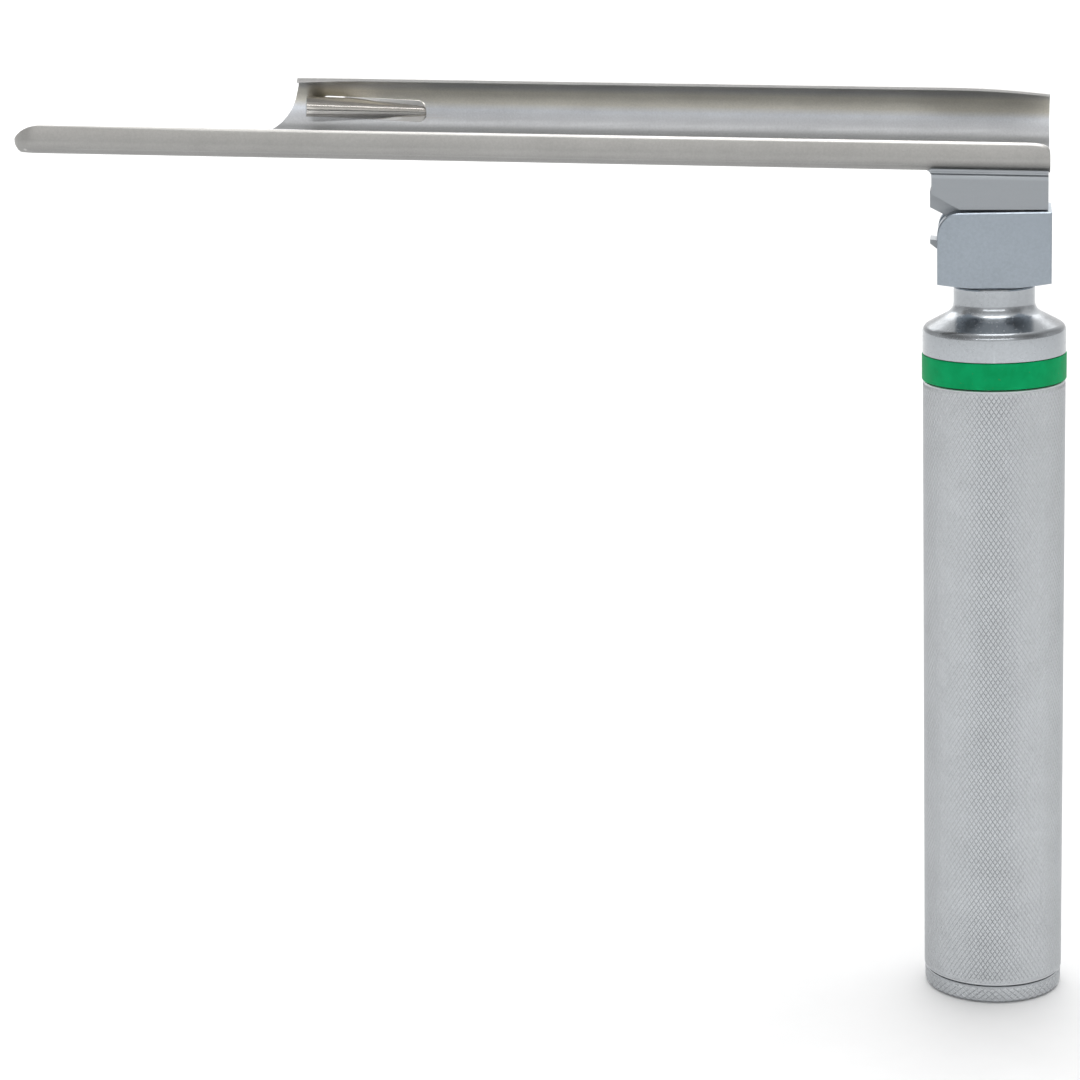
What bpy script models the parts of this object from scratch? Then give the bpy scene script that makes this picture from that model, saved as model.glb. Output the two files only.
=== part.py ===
"""Straight-bladed laryngoscope on a hook-on fibre-light handle.

Frame: Z runs up the axis of the handle, and the origin is the centre of the cap's underside.
The tip of the opened blade points to -X, and the blade's trough is open towards -Y.
The blade folds about a cross pin (parallel to Y) in the head of the handle.
"""

import math

import bmesh
import bpy
from mathutils import Matrix, Vector

MM = 0.001
GAP = 0.3 * MM

# Handle, turned about the Z axis
TUBE_RADIUS = 14.0 * MM
TUBE_WALL = 0.75 * MM
TUBE_BOTTOM = 3.9 * MM
RING_BOTTOM = 127.05 * MM
RING_TOP = 132.1 * MM
RING_RADIUS = 14.2 * MM
COLLAR_RADIUS = 14.05 * MM
COLLAR_BOTTOM = 132.4 * MM
COLLAR_TOP = 136.8 * MM
NECK_RADIUS = 7.95 * MM
NECK_FILLET = 2.6 * MM
NECK_TOP = 145.5 * MM
SPIGOT_RADIUS = 12.9 * MM
SPIGOT_BOTTOM = 119.0 * MM
SPIGOT_BORE = 11.5 * MM
SPIGOT_FLOOR = 134.0 * MM
TOP_CAVITY_RADIUS = 6.2 * MM
TOP_CAVITY_TOP = 139.6 * MM
HEAD_SPIGOT_RADIUS = 6.0 * MM
HEAD_SPIGOT_TOP = 147.6 * MM

# Screw cap
CAP_RADIUS = 13.85 * MM
CAP_RIM_TOP = 3.6 * MM
CAP_EDGE_RADIUS = 1.2 * MM
CAP_SPIGOT_RADIUS = 12.85 * MM
CAP_SPIGOT_TOP = 9.5 * MM
CAP_BORE = 11.6 * MM
CAP_FLOOR = 2.6 * MM
SEAL_MID = 5.3 * MM
SEAL_WIRE = 0.42 * MM
SEAL_RADIUS = 12.68 * MM

# Cells and contacts
CELL_RADIUS = 12.9 * MM
CELL_LENGTH = 50.0 * MM
CELL_NUB_RADIUS = 3.2 * MM
CELL_NUB = 1.6 * MM
LOWER_CELL_BOTTOM = 14.0 * MM
POST_RADIUS = 2.0 * MM
POST_HEAD_RADIUS = 5.6 * MM
POST_HEAD_BOTTOM = 134.3 * MM
POST_HEAD_TOP = 136.0 * MM
INSULATOR_RADIUS = 11.2 * MM
INSULATOR_BOTTOM = 119.4 * MM
INSULATOR_TOP = 133.7 * MM

# Head of the handle
HEAD_HALF_WIDTH = 11.0 * MM
HEAD_HALF_DEPTH = 7.7 * MM
HEAD_BOTTOM = 145.8 * MM
HEAD_BOTTOM_SLOPE = 0.18
HEAD_TOP = 160.7 * MM
PIN = Vector((-6.7 * MM, 0.0, 156.4 * MM))
PIN_RADIUS = 1.75 * MM
HEAD_NOSE_RADIUS = HEAD_HALF_WIDTH + PIN.x
SLOT_HALF_WIDTH = 3.45 * MM
SLOT_BACK = 0.45 * MM
SLOT_FLOOR = 149.2 * MM

# Lamp and its plunger
LAMP_X = 3.9 * MM
LAMP_BORE = 2.9 * MM
LAMP_POCKET_FLOOR = 148.3 * MM
HOLDER_RADIUS = 2.6 * MM
HOLDER_BOTTOM = 152.0 * MM
HOLDER_TOP = 160.6 * MM
ROD_RADIUS = 0.7 * MM
ROD_BORE = 1.1 * MM

# Blade: its underside rises towards the tip
BLADE_RISE = 0.036
BLADE_UNDERSIDE = 168.35 * MM
BLADE_BACK = 10.6 * MM
BLADE_TIP = -197.9 * MM
SHEET = 1.3 * MM
LIP_SHEET = 0.8 * MM
WALL_Y = -7.5 * MM
WALL_HEIGHT = 5.9 * MM
WALL_FILLET = 3.0 * MM
WEB_RADIUS = 7.85 * MM
LIP_Y = -1.2 * MM
SEAM_HEIGHT = 2.6 * MM
NOSE_LENGTH = 7.6 * MM
NOSE_PLAN = 6.5 * MM
NOSE_LIFT = 0.35 * MM
HEEL_CORNER = 4.5 * MM
FLANGE_DIP = 1.0 * MM
FLANGE_DIP_START = -8.0 * MM
NOTCH_CENTRE = Vector((-150.1 * MM, 0.0, 188.9 * MM))
NOTCH_RADIUS = 11.9 * MM

# Heel of the blade
BASE_FRONT = -12.1 * MM
BASE_BACK = 10.3 * MM
BASE_HALF_DEPTH = 6.9 * MM
BASE_BOTTOM = 161.2 * MM
BASE_TILT = 0.014
HOOK_HALF_WIDTH = 3.1 * MM
HOOK_NOTCH = 1.95 * MM
HOOK_RADIUS = 5.4 * MM
HOOK_BACK = -0.3 * MM
HOOK_FRONT = -12.45 * MM
BALL_RADIUS = 1.2 * MM
BALL_PROUD = 0.2 * MM
BALL_X = -2.1 * MM
BALL_Z = 158.6 * MM

# Light guide
FERRULE_RADIUS = 3.2 * MM
FERRULE_HEIGHT = 0.9 * MM
GUIDE_RADIUS = 2.05 * MM
GUIDE_BORE = 1.6 * MM
BUNDLE_RADIUS = 1.3 * MM
SLOT_LEFT = -135.6 * MM
SLOT_RIGHT = -113.6 * MM
SLOT_HALF_HEIGHT = 2.25 * MM

ROUND = 36
STEEL = ((0.68, 0.70, 0.72), 1.0, 0.35)
SATIN = ((0.62, 0.63, 0.64), 1.0, 0.42)
BRASS = ((0.78, 0.60, 0.30), 1.0, 0.35)
GREEN = ((0.01, 0.30, 0.10), 0.0, 0.40)
RUBBER = ((0.03, 0.03, 0.03), 0.0, 0.70)
PLASTIC = ((0.75, 0.73, 0.68), 0.0, 0.50)
CELL_JACKET = ((0.05, 0.07, 0.10), 0.0, 0.35)
GLASS = ((0.90, 0.93, 0.95), 0.0, 0.05)
FIBRE = ((0.80, 0.86, 0.88), 0.0, 0.20)


def reset_scene():
    for thing in list(bpy.data.objects):
        bpy.data.objects.remove(thing)


def make_material(name, look):
    colour, metallic, roughness = look
    material = bpy.data.materials.new(name)
    material.use_nodes = True
    shader = material.node_tree.nodes["Principled BSDF"]
    shader.inputs["Base Color"].default_value = (*colour, 1.0)
    shader.inputs["Metallic"].default_value = metallic
    shader.inputs["Roughness"].default_value = roughness
    return material


def add_empty(name, place, parent=None):
    empty = bpy.data.objects.new(name, None)
    empty.empty_display_size = 5.0 * MM
    bpy.context.scene.collection.objects.link(empty)
    if parent:
        empty.parent = parent
        place = Vector(place) - parent.matrix_world.translation
    empty.location = place
    bpy.context.view_layer.update()
    return empty


def add_solid(name, shape, look, parent, smooth_angle=35.0):
    """Turn a bmesh in world coordinates into an object whose origin is its parent's origin."""
    origin = parent.matrix_world.translation
    bmesh.ops.remove_doubles(shape, verts=shape.verts, dist=1e-7)
    bmesh.ops.recalc_face_normals(shape, faces=shape.faces)
    shape.transform(Matrix.Translation(-origin))
    mesh = bpy.data.meshes.new(name)
    shape.to_mesh(mesh)
    shape.free()
    mesh.shade_smooth()
    mesh.set_sharp_from_angle(angle=math.radians(smooth_angle))
    solid = bpy.data.objects.new(name, mesh)
    solid.parent = parent
    mesh.materials.append(make_material(name, look))
    bpy.context.scene.collection.objects.link(solid)
    return solid


def add_cutter(name, shape, parent):
    cutter = add_solid(name, shape, STEEL, parent)
    cutter.hide_render = True
    cutter.display_type = "WIRE"
    return cutter


def combine(solid, other, operation):
    boolean = solid.modifiers.new(other.name, "BOOLEAN")
    boolean.operation = operation
    boolean.solver = "EXACT"
    boolean.object = other


def cut(solid, cutter):
    combine(solid, cutter, "DIFFERENCE")


def arc(centre, radius, start, end, steps):
    """Points on a circle in a plane, from the start angle to the end angle in degrees."""
    points = []
    for step in range(steps + 1):
        angle = math.radians(start + (end - start) * step / steps)
        points.append((centre[0] + radius * math.cos(angle), centre[1] + radius * math.sin(angle)))
    return points


def turned(profile, axis=(0.0, 0.0), segments=ROUND):
    """Solid of revolution about a vertical axis from a closed (radius, z) profile."""
    shape = bmesh.new()
    rings = []
    for radius, z in profile:
        if radius < 1e-7:
            rings.append([shape.verts.new((axis[0], axis[1], z))] * segments)
            continue
        ring = []
        for step in range(segments):
            angle = 2.0 * math.pi * step / segments
            x = axis[0] + radius * math.cos(angle)
            y = axis[1] + radius * math.sin(angle)
            ring.append(shape.verts.new((x, y, z)))
        rings.append(ring)
    for lower, upper in zip(rings, rings[1:] + rings[:1]):
        for step in range(segments):
            after = (step + 1) % segments
            corners = [lower[step], lower[after], upper[after], upper[step]]
            corners = list(dict.fromkeys(corners))
            if len(corners) > 2:
                shape.faces.new(corners)
    return shape


def prism(outline, low, high):
    """Extrude an (x, z) outline along Y."""
    shape = bmesh.new()
    near = [shape.verts.new((x, low, z)) for x, z in outline]
    far = [shape.verts.new((x, high, z)) for x, z in outline]
    shape.faces.new(near)
    shape.faces.new(list(reversed(far)))
    for index in range(len(outline)):
        after = (index + 1) % len(outline)
        shape.faces.new([near[index], near[after], far[after], far[index]])
    return shape


def loft(sections):
    """Join a list of closed sections, each with the same number of points, and cap the ends."""
    shape = bmesh.new()
    rows = [[shape.verts.new(point) for point in section] for section in sections]
    count = len(rows[0])
    for row, following in zip(rows, rows[1:]):
        for index in range(count):
            after = (index + 1) % count
            shape.faces.new([row[index], row[after], following[after], following[index]])
    shape.faces.new(list(reversed(rows[0])))
    shape.faces.new(rows[-1])
    return shape


def sweep_rings(path, radius, sides):
    """Circles of one radius around each point of a path, square to it."""
    rings = []
    side = Vector((0.0, 0.0, 1.0))
    for index, point in enumerate(path):
        ahead = path[min(index + 1, len(path) - 1)]
        behind = path[max(index - 1, 0)]
        tangent = (ahead - behind).normalized()
        if index == 0 and abs(tangent.z) > 0.9:
            side = Vector((1.0, 0.0, 0.0))
        side = (side - tangent * side.dot(tangent)).normalized()
        other = tangent.cross(side)
        ring = []
        for step in range(sides):
            angle = 2.0 * math.pi * step / sides
            ring.append(point + radius * (math.cos(angle) * side + math.sin(angle) * other))
        rings.append(ring)
    return rings


def rod_along(path, radius, sides):
    return loft(sweep_rings(path, radius, sides))


def pipe_along(path, radius, bore, sides):
    """Open-ended pipe: an outer and an inner skin joined by ring-shaped ends."""
    shape = bmesh.new()
    skins = []
    for size in (radius, bore):
        rings = sweep_rings(path, size, sides)
        skins.append([[shape.verts.new(point) for point in ring] for ring in rings])
    for rings in skins:
        for ring, following in zip(rings, rings[1:]):
            for step in range(sides):
                after = (step + 1) % sides
                shape.faces.new([ring[step], ring[after], following[after], following[step]])
    outer, inner = skins
    for end in (0, -1):
        for step in range(sides):
            after = (step + 1) % sides
            shape.faces.new([outer[end][step], outer[end][after], inner[end][after], inner[end][step]])
    return shape


def smooth_path(points, per_span):
    """Catmull-Rom curve through the points."""
    padded = [2.0 * points[0] - points[1]] + points + [2.0 * points[-1] - points[-2]]
    path = []
    for index in range(1, len(padded) - 2):
        before, start, end, beyond = padded[index - 1 : index + 3]
        for step in range(per_span):
            t = step / per_span
            bend = 2.0 * before - 5.0 * start + 4.0 * end - beyond
            twist = 3.0 * start - before - 3.0 * end + beyond
            path.append(0.5 * (2.0 * start + (end - before) * t + bend * t * t + twist * t**3))
    path.append(points[-1])
    return path


def helix(axis, bottom, top, low_radius, high_radius, turns, wire, per_turn=12):
    """Round wire wound about a vertical axis, as a closed solid."""
    path = []
    steps = int(turns * per_turn)
    for step in range(steps + 1):
        part = step / steps
        angle = 2.0 * math.pi * turns * part
        radius = low_radius + (high_radius - low_radius) * part
        z = bottom + wire + (top - bottom - 2.0 * wire) * part
        path.append(Vector((axis[0] + radius * math.cos(angle), axis[1] + radius * math.sin(angle), z)))
    return rod_along(path, wire, 5)


# ---------------------------------------------------------------- handle


def make_handle_tube(frame):
    inside = TUBE_RADIUS - TUBE_WALL
    top = RING_BOTTOM - GAP
    profile = [
        (TUBE_RADIUS, TUBE_BOTTOM),
        (TUBE_RADIUS, top),
        (inside, top),
        (inside, TUBE_BOTTOM),
    ]
    add_solid("handle_tube", turned(profile), SATIN, frame)


def make_green_ring(frame):
    inside = SPIGOT_RADIUS + GAP
    profile = [
        (RING_RADIUS, RING_BOTTOM),
        (RING_RADIUS, RING_TOP),
        (inside, RING_TOP),
        (inside, RING_BOTTOM),
    ]
    add_solid("green_ring", turned(profile), GREEN, frame)


def collar_outline():
    """Outside of the collar from the bottom of its spigot to the top of the neck."""
    fillet_x = NECK_RADIUS + NECK_FILLET
    fillet_z = 142.4 * MM
    outline = [
        (SPIGOT_RADIUS, SPIGOT_BOTTOM),
        (SPIGOT_RADIUS, COLLAR_BOTTOM),
        (COLLAR_RADIUS, COLLAR_BOTTOM),
        (COLLAR_RADIUS, COLLAR_TOP),
        (COLLAR_RADIUS - 0.25 * MM, COLLAR_TOP + 0.4 * MM),
    ]
    outline += arc((fillet_x, fillet_z), NECK_FILLET, 243.0, 180.0, 5)
    outline += [
        (NECK_RADIUS, NECK_TOP),
        (HEAD_SPIGOT_RADIUS, NECK_TOP),
        (HEAD_SPIGOT_RADIUS, HEAD_SPIGOT_TOP),
    ]
    return outline


def make_neck_collar(frame):
    profile = collar_outline()
    profile += [
        (0.0, HEAD_SPIGOT_TOP),
        (0.0, TOP_CAVITY_TOP),
        (TOP_CAVITY_RADIUS, TOP_CAVITY_TOP),
        (TOP_CAVITY_RADIUS, SPIGOT_FLOOR),
        (SPIGOT_BORE, SPIGOT_FLOOR),
        (SPIGOT_BORE, SPIGOT_BOTTOM),
    ]
    collar = add_solid("neck_collar", turned(profile), STEEL, frame)
    low = TOP_CAVITY_TOP - 1.0 * MM
    high = HEAD_SPIGOT_TOP + 1.0 * MM
    bore = [(0.0, low), (ROD_BORE, low), (ROD_BORE, high), (0.0, high)]
    cut(collar, add_cutter("rod_bore_cutter", turned(bore, (LAMP_X, 0.0), 16), frame))


def head_outline():
    """Side view of the head: square corners, and a nose that is concentric with the pin."""
    outline = [
        (-HEAD_HALF_WIDTH, HEAD_BOTTOM),
        (HEAD_HALF_WIDTH, HEAD_BOTTOM),
        (HEAD_HALF_WIDTH, HEAD_TOP),
    ]
    outline += arc((PIN.x, PIN.z), HEAD_NOSE_RADIUS, 90.0, 180.0, 10)
    return outline


def make_head_fork(frame):
    head = add_solid("head_fork", prism(head_outline(), -HEAD_HALF_DEPTH, HEAD_HALF_DEPTH), STEEL, frame)
    reach = 16.0 * MM
    inner = NECK_RADIUS - 2.0 * MM
    deep = HEAD_BOTTOM - 3.0 * MM
    relief = [
        (inner, deep),
        (reach, deep),
        (reach, HEAD_BOTTOM + HEAD_BOTTOM_SLOPE * (reach - NECK_RADIUS)),
        (inner, HEAD_BOTTOM + HEAD_BOTTOM_SLOPE * (inner - NECK_RADIUS)),
    ]
    cut(head, add_cutter("neck_relief_cutter", turned(relief), frame))
    socket = [
        (0.0, deep),
        (HEAD_SPIGOT_RADIUS + GAP, deep),
        (HEAD_SPIGOT_RADIUS + GAP, HEAD_SPIGOT_TOP + GAP),
        (0.0, HEAD_SPIGOT_TOP + GAP),
    ]
    cut(head, add_cutter("neck_socket_cutter", turned(socket), frame))
    past = 1.0 * MM
    slot = [
        (-HEAD_HALF_WIDTH - past, SLOT_FLOOR),
        (SLOT_BACK, SLOT_FLOOR),
        (SLOT_BACK, HEAD_TOP + past),
        (-HEAD_HALF_WIDTH - past, HEAD_TOP + past),
    ]
    cut(head, add_cutter("hook_slot_cutter", prism(slot, -SLOT_HALF_WIDTH, SLOT_HALF_WIDTH), frame))
    pocket = [
        (0.0, HEAD_SPIGOT_TOP - past),
        (ROD_BORE, HEAD_SPIGOT_TOP - past),
        (ROD_BORE, LAMP_POCKET_FLOOR),
        (LAMP_BORE, LAMP_POCKET_FLOOR),
        (LAMP_BORE, HEAD_TOP + past),
        (0.0, HEAD_TOP + past),
    ]
    cut(head, add_cutter("lamp_pocket_cutter", turned(pocket, (LAMP_X, 0.0), 24), frame))
    hole = arc((PIN.x, PIN.z), PIN_RADIUS + 0.05 * MM, 0.0, 345.0, 23)
    pin_reach = HEAD_HALF_DEPTH - 0.8 * MM
    cut(head, add_cutter("pin_hole_cutter", prism(hole, -pin_reach, pin_reach), frame))


def make_hinge_pin(frame):
    outline = arc((PIN.x, PIN.z), PIN_RADIUS, 0.0, 345.0, 23)
    half = HEAD_HALF_DEPTH - 1.0 * MM
    add_solid("hinge_pin", prism(outline, -half, half), STEEL, frame)


# ---------------------------------------------------------------- cells and contacts


def cell_profile(bottom):
    top = bottom + CELL_LENGTH
    shoulder = top - CELL_NUB
    return [
        (0.0, bottom),
        (CELL_RADIUS - 0.6 * MM, bottom),
        (CELL_RADIUS, bottom + 0.6 * MM),
        (CELL_RADIUS, shoulder - 0.6 * MM),
        (CELL_RADIUS - 0.6 * MM, shoulder),
        (CELL_NUB_RADIUS, shoulder),
        (CELL_NUB_RADIUS, top),
        (0.0, top),
    ]


def make_cells(frame):
    for name, bottom in (
        ("battery_lower", LOWER_CELL_BOTTOM),
        ("battery_upper", LOWER_CELL_BOTTOM + CELL_LENGTH + GAP),
    ):
        add_solid(name, turned(cell_profile(bottom), segments=32), CELL_JACKET, frame)


def make_contact_post(frame):
    bottom = LOWER_CELL_BOTTOM + 2.0 * (CELL_LENGTH + GAP)
    profile = [
        (0.0, bottom),
        (POST_RADIUS, bottom),
        (POST_RADIUS, POST_HEAD_BOTTOM),
        (POST_HEAD_RADIUS, POST_HEAD_BOTTOM),
        (POST_HEAD_RADIUS, POST_HEAD_TOP),
        (0.0, POST_HEAD_TOP),
    ]
    add_solid("contact_post", turned(profile, segments=24), BRASS, frame)


def make_contact_insulator(frame):
    inside = POST_RADIUS + GAP
    profile = [
        (INSULATOR_RADIUS, INSULATOR_BOTTOM),
        (INSULATOR_RADIUS, INSULATOR_TOP),
        (inside, INSULATOR_TOP),
        (inside, INSULATOR_BOTTOM),
    ]
    add_solid("contact_insulator", turned(profile, segments=36), PLASTIC, frame)


# ---------------------------------------------------------------- lamp plunger


def make_lamp_holder(lamp_frame):
    axis = (LAMP_X, 0.0)
    inside = HOLDER_RADIUS - 0.5 * MM
    floor = HOLDER_BOTTOM + 1.0 * MM
    profile = [
        (0.0, HOLDER_BOTTOM),
        (HOLDER_RADIUS, HOLDER_BOTTOM),
        (HOLDER_RADIUS, HOLDER_TOP),
        (inside, HOLDER_TOP),
        (inside, floor),
        (0.0, floor),
    ]
    add_solid("lamp_holder", turned(profile, axis, 24), BRASS, lamp_frame)


def make_lamp_bulb(lamp_frame):
    base = HOLDER_BOTTOM + 1.0 * MM + GAP
    profile = [
        (0.0, base),
        (1.6 * MM, base),
        (1.6 * MM, base + 2.6 * MM),
        (1.25 * MM, base + 2.9 * MM),
    ]
    dome = base + 4.0 * MM
    profile += arc((0.0, dome), 1.25 * MM, 0.0, 90.0, 5)
    add_solid("lamp_bulb", turned(profile, (LAMP_X, 0.0), 24), GLASS, lamp_frame)


def make_lamp_lens(lamp_frame):
    radius = HOLDER_RADIUS - 0.5 * MM - 0.15 * MM
    low = HOLDER_TOP - 1.5 * MM
    profile = [
        (0.0, low),
        (radius, low),
        (radius, HOLDER_TOP - 0.5 * MM),
        (radius * 0.6, HOLDER_TOP - 0.2 * MM),
        (0.0, HOLDER_TOP - 0.1 * MM),
    ]
    add_solid("lamp_lens", turned(profile, (LAMP_X, 0.0), 24), GLASS, lamp_frame)


def make_lamp_spring(frame):
    axis = (LAMP_X, 0.0)
    bottom = LAMP_POCKET_FLOOR + 0.1 * MM
    top = HOLDER_BOTTOM - 0.1 * MM
    add_solid("lamp_spring", helix(axis, bottom, top, 2.1 * MM, 2.1 * MM, 4.0, 0.25 * MM, 10), STEEL, frame)


def make_contact_rod(lamp_frame):
    bottom = POST_HEAD_TOP + GAP
    top = HOLDER_BOTTOM - GAP
    profile = [
        (0.0, bottom),
        (ROD_RADIUS, bottom),
        (ROD_RADIUS, top),
        (0.0, top),
    ]
    add_solid("contact_rod", turned(profile, (LAMP_X, 0.0), 16), BRASS, lamp_frame)


# ---------------------------------------------------------------- screw cap


def make_bottom_cap(cap_frame):
    groove_floor = SEAL_RADIUS - SEAL_WIRE - 0.12 * MM
    groove_half = SEAL_WIRE + 0.15 * MM
    profile = [(0.0, 0.0)]
    profile += arc((CAP_RADIUS - CAP_EDGE_RADIUS, CAP_EDGE_RADIUS), CAP_EDGE_RADIUS, -90.0, 0.0, 4)
    profile += [
        (CAP_RADIUS, CAP_RIM_TOP),
        (CAP_SPIGOT_RADIUS, CAP_RIM_TOP),
        (CAP_SPIGOT_RADIUS, SEAL_MID - groove_half),
        (groove_floor, SEAL_MID - groove_half),
        (groove_floor, SEAL_MID + groove_half),
        (CAP_SPIGOT_RADIUS, SEAL_MID + groove_half),
        (CAP_SPIGOT_RADIUS, CAP_SPIGOT_TOP),
        (CAP_BORE, CAP_SPIGOT_TOP),
        (CAP_BORE, CAP_FLOOR),
        (0.0, CAP_FLOOR),
    ]
    add_solid("bottom_cap", turned(profile), SATIN, cap_frame)


def make_cap_seal(cap_frame):
    profile = arc((SEAL_RADIUS, SEAL_MID), SEAL_WIRE, 0.0, 300.0, 5)
    add_solid("cap_seal", turned(profile), RUBBER, cap_frame)


def make_battery_spring(thrust_frame):
    bottom = CAP_FLOOR + 0.2 * MM
    top = LOWER_CELL_BOTTOM - 0.2 * MM
    coil = helix((0.0, 0.0), bottom, top, 9.5 * MM, 4.5 * MM, 3.5, 0.6 * MM, 14)
    add_solid("battery_spring", coil, STEEL, thrust_frame)


# ---------------------------------------------------------------- blade


def underside(x):
    return BLADE_UNDERSIDE - BLADE_RISE * x


def web_start_angle(height):
    """Angle on the web's circle at which the section reaches a height above the underside."""
    return -math.degrees(math.asin((WEB_RADIUS - height) / WEB_RADIUS))


def quarter(part):
    """Height of a quarter ellipse, from 0 at its end to 1."""
    part = min(max(part, 0.0), 1.0)
    return math.sqrt(1.0 - (1.0 - part) ** 2)


def spatula_section(wall):
    """Trough with a near wall of the given height and a low far edge, as (y, z) above the underside."""
    centre = (WALL_Y + WALL_FILLET, WALL_FILLET)
    web_centre = (0.0, WEB_RADIUS)
    edge = web_start_angle(SEAM_HEIGHT)
    outer = [(WALL_Y, wall)]
    outer += arc(centre, WALL_FILLET, 180.0, 270.0, 6)
    outer += arc(web_centre, WEB_RADIUS, -90.0, edge, 5)
    inner = arc(web_centre, WEB_RADIUS - SHEET, edge, -90.0, 5)
    inner += arc(centre, WALL_FILLET - SHEET, 270.0, 180.0, 4)
    inner += [(WALL_Y + SHEET, wall)]
    return outer + inner


def nose_section(distance):
    """Section near the tip: narrower in plan, and lower as the wall runs round the nose."""
    width = quarter(distance / NOSE_PLAN)
    ceiling = SHEET + (WALL_HEIGHT - SHEET) * quarter(distance / NOSE_LENGTH) ** 1.1
    lift = NOSE_LIFT * (1.0 - quarter(distance / (4.0 * NOSE_LIFT)))
    shaped = []
    for y, z in spatula_section(WALL_HEIGHT):
        height = min(z, ceiling)
        shaped.append((y * width, max(height, lift)))
    return shaped


def place_section(section, x):
    return [Vector((x, y, underside(x) + z)) for y, z in section]


def make_blade_spatula(blade_frame):
    sections = []
    for part in (0.0, 0.12, 0.35, 0.65, 1.0):
        wall = WALL_FILLET + (WALL_HEIGHT - WALL_FILLET) * quarter(part)
        wall = max(wall, WALL_FILLET + 0.1 * MM)
        sections.append(place_section(spatula_section(wall), BLADE_BACK - HEEL_CORNER * part))
    steps = 9
    for step in range(steps):
        distance = NOSE_LENGTH * (1.0 - math.sin(0.5 * math.pi * step / steps))
        sections.append(place_section(nose_section(distance), BLADE_TIP + distance))
    sections.append(place_section(nose_section(0.02 * MM), BLADE_TIP))
    add_solid("blade_spatula", loft(sections), SATIN, blade_frame)


def flange_section(height_drop):
    """Web and curved-over flange above the seam, as (y, z) points above the underside."""
    centre = (0.0, WEB_RADIUS)
    start = web_start_angle(SEAM_HEIGHT + GAP)
    outer = arc(centre, WEB_RADIUS, start, 90.0, 16)
    outer.append((LIP_Y, 2.0 * WEB_RADIUS))
    inner = [(LIP_Y, 2.0 * WEB_RADIUS - LIP_SHEET)]
    for step in range(17):
        part = step / 16
        angle = math.radians(90.0 + (start - 90.0) * part)
        wall = SHEET + (LIP_SHEET - SHEET) * max(0.0, 1.0 - 3.0 * part)
        radius = WEB_RADIUS - wall
        inner.append((radius * math.cos(angle), WEB_RADIUS + radius * math.sin(angle)))
    top = 2.0 * WEB_RADIUS
    return [(y, z - height_drop * (z / top) ** 2) for y, z in outer + inner]


def make_blade_flange(blade_frame):
    sections = []
    steps = 5
    for step in range(steps + 1):
        part = step / steps
        x = BLADE_BACK + (FLANGE_DIP_START - BLADE_BACK) * part
        sections.append(place_section(flange_section(FLANGE_DIP * (1.0 - part) ** 2), x))
    sections.append(place_section(flange_section(0.0), NOTCH_CENTRE.x - 2.0 * MM))
    flange = add_solid("blade_flange", loft(sections), SATIN, blade_frame)
    far = 30.0 * MM
    outline = arc((NOTCH_CENTRE.x, NOTCH_CENTRE.z), NOTCH_RADIUS, -90.0, 15.0, 14)
    outline += [
        (outline[-1][0], NOTCH_CENTRE.z + far),
        (NOTCH_CENTRE.x - far, NOTCH_CENTRE.z + far),
        (NOTCH_CENTRE.x - far, NOTCH_CENTRE.z - far),
        (NOTCH_CENTRE.x, NOTCH_CENTRE.z - far),
    ]
    cut(flange, add_cutter("distal_notch_cutter", prism(outline, -far, far), blade_frame))
    cut(flange, add_cutter("guide_slot_cutter", guide_slot_shape(), blade_frame))


def guide_slot_shape():
    """Slot with round ends that follows the light guide through the web."""
    left_x = SLOT_LEFT + SLOT_HALF_HEIGHT
    right_x = SLOT_RIGHT - SLOT_HALF_HEIGHT
    left = (left_x, guide_height(left_x))
    right = (right_x, guide_height(right_x) + 0.2 * MM)
    outline = arc(right, SLOT_HALF_HEIGHT, -90.0, 90.0, 8)
    outline += arc(left, SLOT_HALF_HEIGHT, 90.0, 270.0, 8)
    return prism(outline, 2.0 * MM, 12.0 * MM)


# ---------------------------------------------------------------- heel of the blade


def base_bottom(x):
    return BASE_BOTTOM - BASE_TILT * x


def base_outline():
    low_front = (BASE_FRONT, 164.5 * MM)
    low_back = -8.2 * MM
    return [
        low_front,
        (low_back, base_bottom(low_back)),
        (BASE_BACK, base_bottom(BASE_BACK)),
        (BASE_BACK, underside(BASE_BACK) - GAP),
        (BASE_FRONT, underside(BASE_FRONT) - GAP),
    ]


def hook_outline():
    """Hook plate in side view: its mouth opens to the front, between a short lower lip and the jaw above."""
    top = 166.0 * MM
    centre = (PIN.x, PIN.z)
    outline = [(HOOK_BACK, top), (HOOK_BACK, PIN.z)]
    outline += arc(centre, HOOK_RADIUS, 0.0, -143.0, 14)
    outline += [(HOOK_FRONT, 154.3 * MM), (HOOK_FRONT, 155.1 * MM)]
    outline += arc(centre, HOOK_NOTCH, 262.5, 442.5, 12)
    outline += [
        (-10.2 * MM, 160.2 * MM),
        (HOOK_FRONT, 161.4 * MM),
        (HOOK_FRONT, 164.6 * MM),
        (BASE_FRONT + 1.0 * MM, 165.2 * MM),
        (BASE_FRONT + 1.0 * MM, top),
    ]
    return outline


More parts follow.
